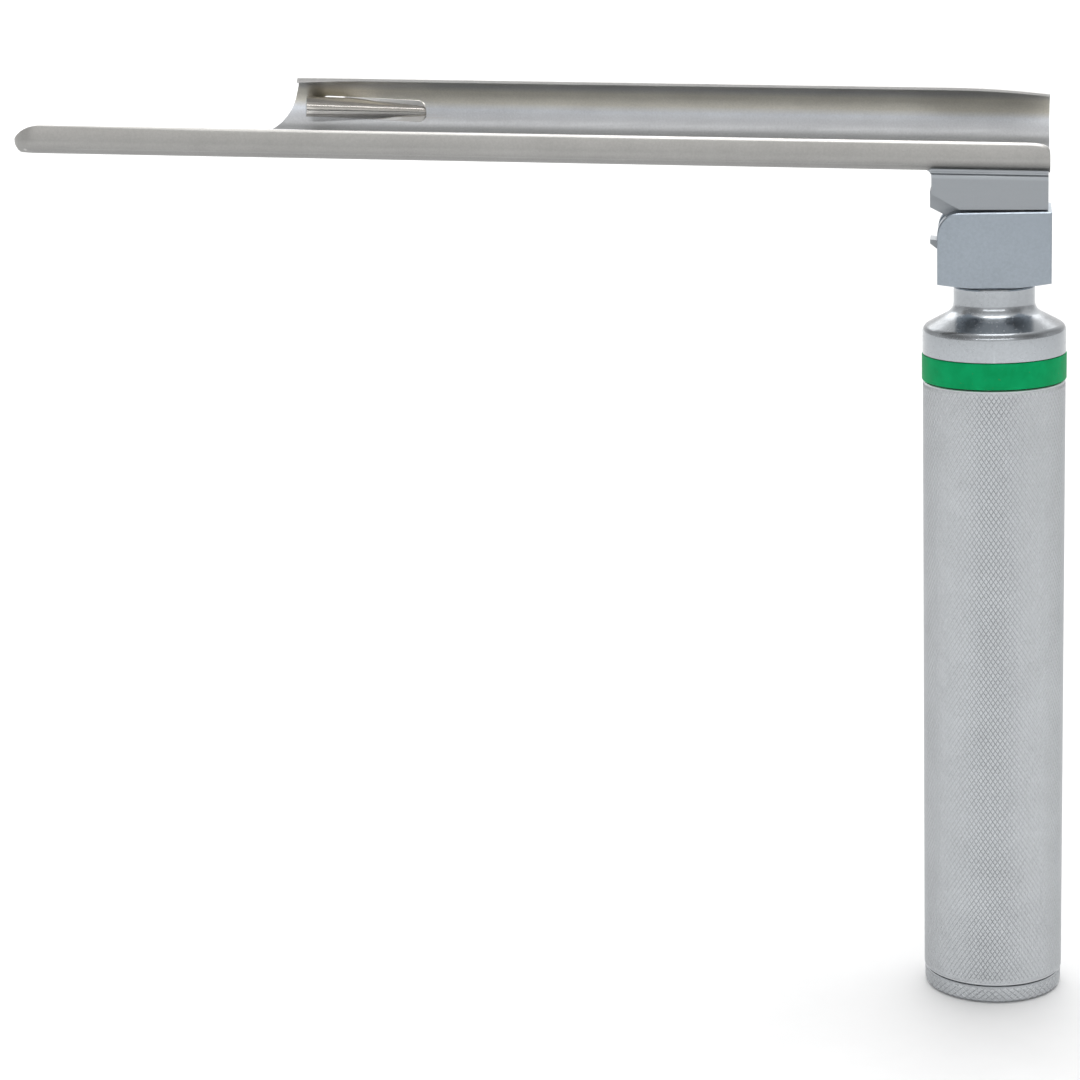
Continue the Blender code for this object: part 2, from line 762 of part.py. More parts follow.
def make_blade_base(blade_frame):
    block = prism(base_outline(), -BASE_HALF_DEPTH, BASE_HALF_DEPTH)
    base = add_solid("blade_base", block, STEEL, blade_frame)
    plate = prism(hook_outline(), -HOOK_HALF_WIDTH, HOOK_HALF_WIDTH)
    combine(base, add_cutter("hook_plate_guide", plate, blade_frame), "UNION")
    clear = 0.25 * MM
    cut(base, add_cutter("guide_bore_cutter", guide_bore_shape(clear), blade_frame))
    seat_top = base_bottom(LAMP_X) + 0.15 * MM + FERRULE_HEIGHT + 0.2 * MM
    seat_low = base_bottom(LAMP_X) - 2.0 * MM
    seat_radius = FERRULE_RADIUS + 0.2 * MM
    seat = [(0.0, seat_low), (seat_radius, seat_low), (seat_radius, seat_top), (0.0, seat_top)]
    cut(base, add_cutter("ferrule_seat_cutter", turned(seat, (LAMP_X, 0.0), 24), blade_frame))
    ball_bore = arc((BALL_X, BALL_Z), BALL_RADIUS + 0.08 * MM, 0.0, 337.5, 15)
    reach = HOOK_HALF_WIDTH + 1.0 * MM
    cut(base, add_cutter("ball_bore_cutter", prism(ball_bore, -reach, reach), blade_frame))


def make_guide_ferrule(blade_frame):
    """Bushing round the inlet of the light guide, in a counterbore of the heel."""
    low = base_bottom(LAMP_X) + 0.15 * MM
    inside = GUIDE_RADIUS + 0.25 * MM
    profile = [
        (FERRULE_RADIUS, low),
        (FERRULE_RADIUS, low + FERRULE_HEIGHT),
        (inside, low + FERRULE_HEIGHT),
        (inside, low),
    ]
    add_solid("guide_ferrule", turned(profile, (LAMP_X, 0.0), 24), STEEL, blade_frame)


def make_balls(near_frame, far_frame):
    """Each ball is turned about the axis across the hook plate."""
    for name, frame, side in (("detent_ball_near", near_frame, -1.0), ("detent_ball_far", far_frame, 1.0)):
        centre = side * (HOOK_HALF_WIDTH + BALL_PROUD - BALL_RADIUS)
        shape = bmesh.new()
        bmesh.ops.create_uvsphere(shape, u_segments=12, v_segments=6, radius=BALL_RADIUS)
        shape.transform(Matrix.Rotation(math.radians(90.0), 4, "X"))
        shape.transform(Matrix.Translation((BALL_X, centre, BALL_Z)))
        add_solid(name, shape, STEEL, frame)


def make_detent_spring(blade_frame):
    half = HOOK_HALF_WIDTH + BALL_PROUD - 2.0 * BALL_RADIUS - 0.1 * MM
    coil = helix((0.0, 0.0), -half, half, 0.8 * MM, 0.8 * MM, 3.0, 0.15 * MM, 10)
    coil.transform(Matrix.Rotation(math.radians(90.0), 4, "X"))
    coil.transform(Matrix.Translation((BALL_X, 0.0, BALL_Z)))
    add_solid("detent_spring", coil, STEEL, blade_frame)


# ---------------------------------------------------------------- light guide


def guide_height(x):
    """Height of the light guide's axis where it crosses the web."""
    fall = (x - SLOT_LEFT) / (SLOT_RIGHT - SLOT_LEFT)
    return underside(x) + (9.5 - 0.95 * fall) * MM


def guide_path():
    """From the light inlet under the heel, out of its far side, along the web and into the trough."""
    inlet = base_bottom(LAMP_X) + 0.1 * MM
    points = [
        Vector((LAMP_X, 0.0, inlet)),
        Vector((LAMP_X, 0.0, inlet + 1.2 * MM)),
        Vector((LAMP_X - 0.2 * MM, 0.9 * MM, inlet + 3.1 * MM)),
        Vector((3.0 * MM, 3.2 * MM, 165.3 * MM)),
        Vector((0.2 * MM, 6.8 * MM, 165.6 * MM)),
        Vector((-6.0 * MM, 9.6 * MM, 166.5 * MM)),
        Vector((-14.0 * MM, 10.4 * MM, 169.9 * MM)),
        Vector((-26.0 * MM, 10.6 * MM, underside(-26.0 * MM) + 5.0 * MM)),
        Vector((-60.0 * MM, 10.6 * MM, underside(-60.0 * MM) + 7.6 * MM)),
        Vector((-96.0 * MM, 10.6 * MM, underside(-96.0 * MM) + 8.3 * MM)),
        Vector((-107.0 * MM, 10.7 * MM, guide_height(-107.0 * MM))),
        Vector((-113.5 * MM, 10.0 * MM, guide_height(-113.5 * MM))),
        Vector((-125.0 * MM, 6.8 * MM, guide_height(-125.0 * MM))),
        Vector((-137.6 * MM, 3.3 * MM, guide_height(-137.6 * MM))),
    ]
    return smooth_path(points, 3)


def guide_bore_shape(clear):
    path = guide_path()
    start = path[0] - Vector((0.0, 0.0, 2.0 * MM))
    inside = [point for point in path if point.x > -15.0 * MM]
    return rod_along([start] + inside, GUIDE_RADIUS + clear, 16)


def make_light_guide(blade_frame):
    path = guide_path()
    add_solid("light_guide_tube", pipe_along(path, GUIDE_RADIUS, GUIDE_BORE, 12), STEEL, blade_frame)
    add_solid("fibre_bundle", rod_along(path, BUNDLE_RADIUS, 8), FIBRE, blade_frame)


def main():
    reset_scene()
    handle = add_empty("handle_frame", (0.0, 0.0, 0.0))
    cap = add_empty("cap_axis", (0.0, 0.0, 0.0), handle)
    lamp = add_empty("lamp_axis", (LAMP_X, 0.0, HOLDER_BOTTOM), handle)
    blade = add_empty("blade_pivot", PIN, handle)
    near = add_empty("near_ball_seat", (BALL_X, -HOOK_HALF_WIDTH, BALL_Z), blade)
    far = add_empty("far_ball_seat", (BALL_X, HOOK_HALF_WIDTH, BALL_Z), blade)

    make_handle_tube(handle)
    make_green_ring(handle)
    make_neck_collar(handle)
    make_head_fork(handle)
    make_hinge_pin(handle)
    make_cells(handle)
    make_contact_post(handle)
    make_contact_insulator(handle)
    make_lamp_spring(handle)
    make_lamp_holder(lamp)
    make_lamp_bulb(lamp)
    make_lamp_lens(lamp)
    make_contact_rod(lamp)
    make_bottom_cap(cap)
    make_cap_seal(cap)
    make_battery_spring(cap)
    make_blade_spatula(blade)
    make_blade_flange(blade)
    make_blade_base(blade)
    make_guide_ferrule(blade)
    make_balls(near, far)
    make_detent_spring(blade)
    make_light_guide(blade)


main()
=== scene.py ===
"""Finished look of the straight-bladed laryngoscope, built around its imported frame.

Frame: Z runs up the axis of the handle from the centre of the cap's underside, the blade's
tip points to -X and its trough is open towards -Y. Lengths are in metres.
"""
import math

import bmesh
import bpy
from mathutils import Matrix, Vector

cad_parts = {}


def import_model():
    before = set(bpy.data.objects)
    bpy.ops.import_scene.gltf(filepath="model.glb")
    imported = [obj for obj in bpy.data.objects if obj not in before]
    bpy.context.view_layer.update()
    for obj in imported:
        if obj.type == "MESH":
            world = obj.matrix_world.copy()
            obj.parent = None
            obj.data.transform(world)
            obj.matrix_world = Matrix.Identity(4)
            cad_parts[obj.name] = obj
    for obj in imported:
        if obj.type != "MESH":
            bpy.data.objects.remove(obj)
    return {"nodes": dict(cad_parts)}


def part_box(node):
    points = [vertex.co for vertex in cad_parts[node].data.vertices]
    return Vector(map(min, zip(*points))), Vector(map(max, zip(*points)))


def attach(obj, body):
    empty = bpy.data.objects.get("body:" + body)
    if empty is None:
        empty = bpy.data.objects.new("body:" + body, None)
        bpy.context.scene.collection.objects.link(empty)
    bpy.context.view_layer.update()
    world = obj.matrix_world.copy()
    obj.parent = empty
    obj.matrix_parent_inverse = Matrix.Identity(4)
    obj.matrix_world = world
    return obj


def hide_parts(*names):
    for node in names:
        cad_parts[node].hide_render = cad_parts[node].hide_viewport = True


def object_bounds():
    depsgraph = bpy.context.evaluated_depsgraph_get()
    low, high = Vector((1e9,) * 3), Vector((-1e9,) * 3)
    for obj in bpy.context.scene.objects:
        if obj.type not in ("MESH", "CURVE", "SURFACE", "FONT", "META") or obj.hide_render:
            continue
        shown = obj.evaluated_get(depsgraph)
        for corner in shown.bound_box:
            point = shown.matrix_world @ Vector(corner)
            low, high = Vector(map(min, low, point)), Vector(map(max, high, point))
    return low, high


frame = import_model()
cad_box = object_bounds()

MM = 0.001

# Handle
TUBE_RADIUS = 14.0 * MM
TUBE_WALL = 0.75 * MM
TUBE_BOTTOM = 3.9 * MM
TUBE_TOP = 126.75 * MM
KNURLS_AROUND = 92
KNURL_ROWS = 86
KNURL_DEPTH = 0.08 * MM
KNURL_TOP = 0.74
CAP_KNURLS = 62
CAP_KNURL_ROWS = 3
RING_BOTTOM = 127.0 * MM
RING_TOP = 132.15 * MM
RING_RADIUS = 14.2 * MM
COLLAR_RADIUS = 14.05 * MM
COLLAR_BOTTOM = 132.25 * MM
SHOULDER_ROUND = 1.7 * MM
SHOULDER_Z = 136.54 * MM
NECK_RADIUS = 7.95 * MM
NECK_FILLET = 2.6 * MM
NECK_FILLET_Z = 142.4 * MM
NECK_TOP = 145.5 * MM
SPIGOT_RADIUS = 12.9 * MM
SPIGOT_BOTTOM = 119.0 * MM
SPIGOT_BORE = 11.5 * MM
SPIGOT_FLOOR = 134.0 * MM
HEAD_SPIGOT_RADIUS = 6.0 * MM
HEAD_SPIGOT_TOP = 147.6 * MM
THREAD_PITCH = 1.5 * MM
THREAD_DEPTH = 0.4 * MM

# Screw cap
CAP_RADIUS = 13.85 * MM
CAP_RIM_TOP = 3.6 * MM
CAP_EDGE = 1.2 * MM
CAP_SPIGOT_RADIUS = 12.85 * MM
CAP_SPIGOT_TOP = 9.5 * MM
CAP_BORE = 11.6 * MM
CAP_FLOOR = 2.6 * MM
CAP_FOOT = 11.2 * MM
CAP_RECESS = 0.25 * MM
SEAL_MID = 5.3 * MM
SEAL_GROOVE = 0.57 * MM
SEAL_FLOOR = 12.14 * MM

# Head
HEAD_HALF_WIDTH = 11.0 * MM
HEAD_HALF_DEPTH = 7.7 * MM
HEAD_BOTTOM = 145.8 * MM
HEAD_SLOPE = 0.18
HEAD_EDGE = 0.24 * MM
HEAD_TOP = 160.7 * MM
PIN = (-6.7 * MM, 156.4 * MM)
PIN_RADIUS = 1.75 * MM
NOSE_RADIUS = 4.3 * MM
SLOT_HALF_WIDTH = 3.45 * MM
SLOT_BACK = 0.45 * MM
SLOT_FLOOR = 149.2 * MM
LAMP_X = 3.9 * MM
LAMP_BORE = 2.9 * MM
LAMP_FLOOR = 148.3 * MM

# Blade
BLADE_RISE = 0.036
BLADE_UNDERSIDE = 168.35 * MM
BLADE_BACK = 10.6 * MM
BLADE_TIP = -197.9 * MM
SHEET = 1.3 * MM
WALL_Y = -7.5 * MM
WALL_HEIGHT = 5.9 * MM
WALL_FILLET = 3.0 * MM
# Rim of the near wall: inward and downward steps, in millimetres
RIM_BEVEL = ((0.66, 0.0), (0.57, -0.012), (0.49, -0.05), (0.06, -0.52), (0.012, -0.60), (0.0, -0.70))
WEB_RADIUS = 7.85 * MM
LIP_Y = -1.2 * MM
LIP_SHEET = 0.58 * MM
LIP_THICKENING = 0.5 * MM
SEAM = 2.75 * MM
FLANGE_DIP = 1.0 * MM
DIP_START = -8.0 * MM
# Distal end of the web: height above the underside and X, in millimetres
NOTCH_EDGE = (
    (2.0, -150.1), (3.0, -149.4), (3.7, -147.6), (4.4, -146.0), (5.2, -144.6),
    (6.0, -143.6), (7.2, -142.5), (8.4, -141.6), (9.6, -140.9), (10.9, -140.3),
    (12.2, -139.75), (13.5, -139.1), (15.0, -138.35), (16.0, -137.95),
)
WEB_STEPS = 48
NOSE_LENGTH = 7.6 * MM
NOSE_PLAN = 6.5 * MM
NOSE_LOW = 1.85 * MM
NOSE_CUT = 2.1 * MM
NOSE_HIGH = 2.0 * MM
HEEL_CORNER = 4.5 * MM

# Heel
BASE_FRONT = -12.1 * MM
BASE_BACK = 10.3 * MM
BASE_HALF_DEPTH = 6.9 * MM
FLAT_HALF_WIDTH = 4.5 * MM
BASE_BOTTOM = 161.2 * MM
BASE_TILT = 0.014
# Top of the heel block: Y and height above the underside, in millimetres
HEEL_TOP = (
    (-6.32, -0.53), (-6.14, -0.44), (-6.03, -0.22), (-6.04, 0.05), (-6.12, 0.32), (-6.0, 0.62),
    (-5.2, 0.6), (0.0, 0.6), (4.0, 1.5), (4.75, 1.1), (5.05, 0.45), (5.5, -0.1), (6.1, -0.45),
)
CHAMFER_TOP = 164.4 * MM
CHAMFER_END = -6.7 * MM
FRONT_FILLET = 1.1 * MM
HOOK_HALF_WIDTH = 3.1 * MM
HOOK_NOTCH = 1.95 * MM
HOOK_RADIUS = 5.4 * MM
HOOK_BACK = -0.3 * MM
HOOK_FRONT = -12.45 * MM
HOOK_TOP = 167.5 * MM
HOOK_MOUTH = (-10.2 * MM, 160.2 * MM)
LOWER_JAW = (154.3 * MM, 155.1 * MM)
UPPER_JAW = (161.4 * MM, 164.6 * MM)

# Light guide
FERRULE_RADIUS = 3.2 * MM
FERRULE_HEIGHT = 0.9 * MM
GUIDE_RADIUS = 2.05 * MM
GUIDE_BORE = 1.6 * MM
BUNDLE_RADIUS = 1.5 * MM
SLOT_LEFT = -135.6 * MM
SLOT_RIGHT = -113.6 * MM
SLOT_HALF_HEIGHT = 2.2 * MM


# ---------------------------------------------------------------- mesh tools


def show(thing):
    bpy.context.scene.collection.objects.link(thing)


def arc(centre, radius, start, end, steps):
    points = []
    for step in range(steps + 1):
        angle = math.radians(start + (end - start) * step / steps)
        points.append((centre[0] + radius * math.cos(angle), centre[1] + radius * math.sin(angle)))
    return points


def bridge(shape, lower, upper):
    """Band of faces between two closed rings of vertices."""
    count = len(lower)
    for step in range(count):
        after = (step + 1) % count
        corners = list(dict.fromkeys([lower[step], lower[after], upper[after], upper[step]]))
        if len(corners) > 2:
            shape.faces.new(corners)


def bridge_all(shape, rings):
    for lower, upper in zip(rings, rings[1:]):
        bridge(shape, lower, upper)


def ring_of(shape, radius, z, segments, axis=(0.0, 0.0), turn=0.0):
    if radius < 1e-7:
        return [shape.verts.new((axis[0], axis[1], z))] * segments
    ring = []
    for step in range(segments):
        angle = 2.0 * math.pi * (step + turn) / segments
        x = axis[0] + radius * math.cos(angle)
        y = axis[1] + radius * math.sin(angle)
        ring.append(shape.verts.new((x, y, z)))
    return ring


def half_turned_rings(shape, profile, segments):
    """Rings whose vertices lie half a step round, in line with the knurl's grooves."""
    return [ring_of(shape, radius, z, segments, turn=0.5) for radius, z in profile]


def turned(profile, axis=(0.0, 0.0), segments=160):
    shape = bmesh.new()
    rings = [ring_of(shape, radius, z, segments, axis) for radius, z in profile]
    bridge_all(shape, rings + rings[:1])
    return shape


def prism(outline, low, high):
    shape = bmesh.new()
    near = [shape.verts.new((x, low, z)) for x, z in outline]
    far = [shape.verts.new((x, high, z)) for x, z in outline]
    shape.faces.new(near)
    shape.faces.new(list(reversed(far)))
    bridge(shape, near, far)
    return shape


def flat_cap(shape, row):
    shape.faces.new(row)


def inset(outline, distance):
    """Convex outline, listed anticlockwise, moved inwards."""
    moved = []
    for index, (x, z) in enumerate(outline):
        before = Vector(outline[index - 1])
        after = Vector(outline[(index + 1) % len(outline)])
        here = Vector((x, z))
        first = (here - before).normalized()
        second = (after - here).normalized()
        inward = Vector((-first.y - second.y, first.x + second.x))
        inward *= 2.0 * distance / inward.length_squared
        moved.append((x + inward.x, z + inward.y))
    return moved


def eased_prism(outline, low, high, edge):
    """Prism whose front and back edges are broken by a chamfer."""
    levels = ((low, edge), (low + edge, 0.0), (high - edge, 0.0), (high, edge))
    return loft([[(x, y, z) for x, z in inset(outline, inward)] for y, inward in levels])


def loft(sections, cap=flat_cap):
    shape = bmesh.new()
    rows = [[shape.verts.new(point) for point in section] for section in sections]
    bridge_all(shape, rows)
    cap(shape, rows[0])
    cap(shape, rows[-1])
    return shape


def sweep_rings(path, radius, sides):
    rings = []
    side = Vector((0.0, 0.0, 1.0))
    for index, point in enumerate(path):
        ahead = path[min(index + 1, len(path) - 1)]
        behind = path[max(index - 1, 0)]
        tangent = (ahead - behind).normalized()
        if index == 0 and abs(tangent.z) > 0.9:
            side = Vector((1.0, 0.0, 0.0))
        side = (side - tangent * side.dot(tangent)).normalized()
        other = tangent.cross(side)
        ring = []
        for step in range(sides):
            angle = 2.0 * math.pi * step / sides
            ring.append(point + radius * (math.cos(angle) * side + math.sin(angle) * other))
        rings.append(ring)
    return rings


def rod_along(path, radius, sides):
    return loft(sweep_rings(path, radius, sides))


def pipe_along(path, radius, bore, sides):
    shape = bmesh.new()
    skins = []
    for size in (radius, bore):
        rings = [[shape.verts.new(point) for point in ring] for ring in sweep_rings(path, size, sides)]
        bridge_all(shape, rings)
        skins.append(rings)
    outer, inner = skins
    bridge(shape, outer[0], inner[0])
    bridge(shape, outer[-1], inner[-1])
    return shape


def smooth_path(points, per_span):
    """Catmull-Rom curve through the points."""
    padded = [2.0 * points[0] - points[1]] + points + [2.0 * points[-1] - points[-2]]
    path = []
    for index in range(1, len(padded) - 2):
        before, start, end, beyond = padded[index - 1 : index + 3]
        for step in range(per_span):
            t = step / per_span
            bend = 2.0 * before - 5.0 * start + 4.0 * end - beyond
            twist = 3.0 * start - before - 3.0 * end + beyond
            path.append(0.5 * (2.0 * start + (end - before) * t + bend * t * t + twist * t**3))
    path.append(points[-1])
    return path


def tidied(shape):
    bmesh.ops.remove_doubles(shape, verts=shape.verts, dist=1e-7)
    bmesh.ops.dissolve_degenerate(shape, edges=shape.edges, dist=1e-7)
    bmesh.ops.recalc_face_normals(shape, faces=shape.faces)
    return shape


def carve(shape, tool, operation="DIFFERENCE"):
    """Boolean of two closed shapes, as a new shape."""
    pair = []
    for item in (shape, tool):
        mesh = bpy.data.meshes.new("carving")
        tidied(item).to_mesh(mesh)
        item.free()
        thing = bpy.data.objects.new("carving", mesh)
        show(thing)
        pair.append(thing)
    body, cutter = pair
    boolean = body.modifiers.new("carve", "BOOLEAN")
    boolean.operation = operation
    boolean.solver = "EXACT"
    boolean.object = cutter
    baked = bpy.data.meshes.new_from_object(body.evaluated_get(bpy.context.evaluated_depsgraph_get()))
    result = bmesh.new()
    result.from_mesh(baked)
    for thing in pair:
        mesh = thing.data
        bpy.data.objects.remove(thing)
        bpy.data.meshes.remove(mesh)
    bpy.data.meshes.remove(baked)
    return result


def place(name, shape, material, body, nodes=(), slot=None, smooth=32.0, bevel=0.0, bevel_angle=35.0):
    """Turn a shape into a piece that rides on a body and stands for the named CAD nodes."""
    tidied(shape)
    mesh = bpy.data.meshes.new(name)
    shape.to_mesh(mesh)
    shape.free()
    mesh.shade_smooth()
    mesh.set_sharp_from_angle(angle=math.radians(smooth))
    piece = bpy.data.objects.new(name, mesh)
    mesh.materials.append(material)
    show(piece)
    if bevel:
        edges = piece.modifiers.new("edges", "BEVEL")
        edges.width = bevel
        edges.segments = 3
        edges.limit_method = "ANGLE"
        edges.angle_limit = math.radians(bevel_angle)
        edges.harden_normals = True
    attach(piece, body)
    if nodes:
        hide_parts(*nodes)


# ---------------------------------------------------------------- materials


class Surface:
    """Principled material with noise laid over it in the object's own metres."""

    def __init__(self, name, metallic=1.0):
        self.material = bpy.data.materials.new(name)
        self.material.use_nodes = True
        self.tree = self.material.node_tree
        self.shader = self.tree.nodes["Principled BSDF"]
        self.shader.inputs["Metallic"].default_value = metallic
        self.where = self.tree.nodes.new("ShaderNodeTexCoord").outputs["Object"]

    def node(self, kind, **values):
        made = self.tree.nodes.new(kind)
        for key, value in values.items():
            setattr(made, key, value)
        return made

    def link(self, source, target):
        self.tree.links.new(source, target)

    def noise(self, scale, detail=3.0, stretch=(1.0, 1.0, 1.0), roughness=0.5, point=None):
        """Noise whose features are about 1/scale metres across before stretching."""
        mapping = self.node("ShaderNodeMapping")
        mapping.inputs["Scale"].default_value = stretch
        self.link(point or self.where, mapping.inputs["Vector"])
        noise = self.node("ShaderNodeTexNoise")
        noise.inputs["Scale"].default_value = scale
        noise.inputs["Detail"].default_value = detail
        noise.inputs["Roughness"].default_value = roughness
        self.link(mapping.outputs["Vector"], noise.inputs["Vector"])
        return noise.outputs["Fac"]

    def parts(self):
        """X, Y and Z of the point."""
        split = self.node("ShaderNodeSeparateXYZ")
        self.link(self.where, split.inputs["Vector"])
        return split.outputs

    def metal_noises(self, grain, streak):
        """Cloudy tone, fine grain and streaks."""
        clouds = self.noise(CLOUDS, 4.0, roughness=0.6)
        fine = self.noise(grain, 4.0, roughness=0.7)
        return clouds, fine, self.noise(STREAKS, stretch=streak)

    def rings(self, scale):
        """Noise that is the same all the way round the handle's axis, as turning leaves it."""
        parts = self.parts()
        flat = self.node("ShaderNodeCombineXYZ")
        self.link(parts["X"], flat.inputs["X"])
        self.link(parts["Y"], flat.inputs["Y"])
        length = self.node("ShaderNodeVectorMath", operation="LENGTH")
        self.link(flat.outputs["Vector"], length.inputs[0])
        profile = self.node("ShaderNodeCombineXYZ")
        self.link(length.outputs["Value"], profile.inputs["X"])
        self.link(parts["Z"], profile.inputs["Z"])
        return self.noise(scale, 2.0, point=profile.outputs["Vector"])

    def spread(self, value, low, high, source_low=0.3, source_high=0.7):
        span = self.node("ShaderNodeMapRange")
        span.inputs["From Min"].default_value = source_low
        span.inputs["From Max"].default_value = source_high
        span.inputs["To Min"].default_value = low
        span.inputs["To Max"].default_value = high
        self.link(value, span.inputs["Value"])
        return span.outputs["Result"]

    def rising(self, value, start, end):
        return self.spread(value, 0.0, 1.0, start, end)

    def falling(self, value, start, end):
        return self.spread(value, 1.0, 0.0, start, end)

    def blend(self, factor, first, second):
        mix = self.node("ShaderNodeMix", data_type="RGBA")
        self.link(factor, mix.inputs["Factor"])
        for value, socket in ((first, mix.inputs["A"]), (second, mix.inputs["B"])):
            if isinstance(value, tuple):
                socket.default_value = (*value, 1.0)
            else:
                self.link(value, socket)
        return mix.outputs["Result"]

    def times(self, first, second):
        maths = self.node("ShaderNodeMath", operation="MULTIPLY")
        self.link(first, maths.inputs[0])
        self.link(second, maths.inputs[1])
        return maths.outputs["Value"]

    def product(self, first, second):
        mix = self.node("ShaderNodeMix", data_type="RGBA", blend_type="MULTIPLY")
        mix.inputs["Factor"].default_value = 1.0
        self.link(first, mix.inputs["A"])
        self.link(second, mix.inputs["B"])
        return mix.outputs["Result"]

    def colour(self, value):
        self.link(value, self.shader.inputs["Base Color"])

    def roughness(self, value):
        self.link(value, self.shader.inputs["Roughness"])

    def bump(self, *layers):
        """Layers of (height, strength, distance), one on the other."""
        normal = None
        for height, strength, distance in layers:
            bump = self.node("ShaderNodeBump")
            bump.inputs["Strength"].default_value = strength
            bump.inputs["Distance"].default_value = distance
            self.link(height, bump.inputs["Height"])
            if normal:
                self.link(normal, bump.inputs["Normal"])
            normal = bump.outputs["Normal"]
        self.link(normal, self.shader.inputs["Normal"])


# Brushed steel of the near wall, lit and shaded: painted shade towards the bottom, where the wall turns under
BRUSHED_SHADED = (0.288, 0.286, 0.28)
BRUSHED_LIT = (0.505, 0.497, 0.478)
# Inside the trough: painted highlight, painted warm reflection, painted shade under the lip and painted shade
# low on the far side
PAINTED_HIGHLIGHT_INSIDE = (0.86, 0.875, 0.90)
PAINTED_WARM_REFLECTION = (0.78, 0.745, 0.655)
PAINTED_SHADE_UNDER_LIP = (0.50, 0.495, 0.485)
PAINTED_SHADE_LOW_INSIDE = (0.44, 0.445, 0.45)
# Painted shade in the corner where the near wall meets the heel
SHADE_OVER_HEEL = (0.17, 0.168, 0.162)
# Paler edges: partly wear, partly painted highlight along the rims
WORN_EDGE_AND_HIGHLIGHT = (0.66, 0.65, 0.635)

# Features per metre of the noise on the metals
CLOUDS = 90.0
STREAKS = 1500.0
FINE_GRAIN = 2600.0
TURNING = 3800.0
SHADE_TINT = 0.62


def tinted(colour, factor):
    return tuple(channel * factor for channel in colour)


def blade_height(look):
    """Height with the blade's rise taken out: BLADE_UNDERSIDE all along its underside."""
    level = look.node("ShaderNodeVectorMath", operation="DOT_PRODUCT")
    level.inputs[1].default_value = (BLADE_RISE, 0.0, 1.0)
    look.link(look.where, level.inputs[0])
    return level.outputs["Value"]


def heel_edge_highlight(look):
    """Painted highlight along the top edge of the heel, just under the blade, that also lightens the shade
    below that edge.
    """
    height = blade_height(look)
    rise = look.rising(height, BLADE_UNDERSIDE - 1.5 * MM, BLADE_UNDERSIDE - 1.1 * MM)
    fall = look.falling(height, BLADE_UNDERSIDE - 0.52 * MM, BLADE_UNDERSIDE - 0.42 * MM)
    return look.times(rise, fall)


def hook_recess_shade(look):
    """Painted shade on the plate of the hook, set in from the faces of the heel."""
    aside = look.node("ShaderNodeMath", operation="ABSOLUTE")
    look.link(look.parts()["Y"], aside.inputs[0])
    return look.falling(aside.outputs["Value"], HOOK_HALF_WIDTH + 0.1 * MM, HOOK_HALF_WIDTH + 0.6 * MM)


def cone_reflection_shade(look):
    """Painted dark reflection in a band on the cone between the neck and the shoulder."""
    level = look.parts()["Z"]
    rise = look.rising(level, SHOULDER_Z + 0.36 * MM, SHOULDER_Z + 0.96 * MM)
    fall = look.falling(level, NECK_FILLET_Z - 3.0 * MM, NECK_FILLET_Z - 2.1 * MM)
    return look.times(rise, fall)


def worn_steel(
    name, colour, roughness, grain=FINE_GRAIN, grain_depth=0.006, streak=(1.0, 1.0, 1.0),
    turned_rings=0.0, band=None, band_tint=1.0, shade=None, edge_wear_and_highlight_tint=1.5, side_shade_tint=1.0,
):
    """Steel with cloudy tone, fine grain, faint streaks along one direction and paler edges, partly wear and
    partly painted highlight.

    band and shade are functions that give the places tinted by band_tint and SHADE_TINT, painted highlight or
    painted shade; surfaces seen edge-on can also be darkened as painted shade.
    """
    look = Surface(name)
    clouds, fine, lines = look.metal_noises(grain, streak)
    tone = look.blend(look.spread(clouds, 0.0, 1.0), tinted(colour, 0.93), tinted(colour, 1.06))
    speck = look.blend(look.spread(fine, 0.0, 0.6, 0.35, 0.70), tone, tinted(colour, 1.25))
    if band:
        speck = look.blend(band(look), speck, tinted(colour, band_tint))
    if shade:
        speck = look.blend(shade(look), speck, tinted(colour, SHADE_TINT))
    # Painted shade: surfaces seen edge-on darken towards the silhouette
    if side_shade_tint != 1.0:
        facing = look.node("ShaderNodeLayerWeight").outputs["Facing"]
        side_shade = look.blend(look.rising(facing, 0.1, 0.7), (1.0,) * 3, (side_shade_tint,) * 3)
        speck = look.product(speck, side_shade)
    # Paler edges by pointiness: partly wear, partly painted highlight
    edges = look.node("ShaderNodeNewGeometry").outputs["Pointiness"]
    look.colour(look.blend(look.spread(edges, 0.0, 0.7, 0.53, 0.62), speck, tinted(colour, edge_wear_and_highlight_tint)))
    look.roughness(look.spread(lines, roughness - 0.05, roughness + 0.07))
    layers = [(fine, 0.35, grain_depth * MM), (lines, 0.25, 0.004 * MM)]
    if turned_rings:
        layers.append((look.rings(TURNING), 0.5, turned_rings * MM))
    look.bump(*layers)
    return look.material


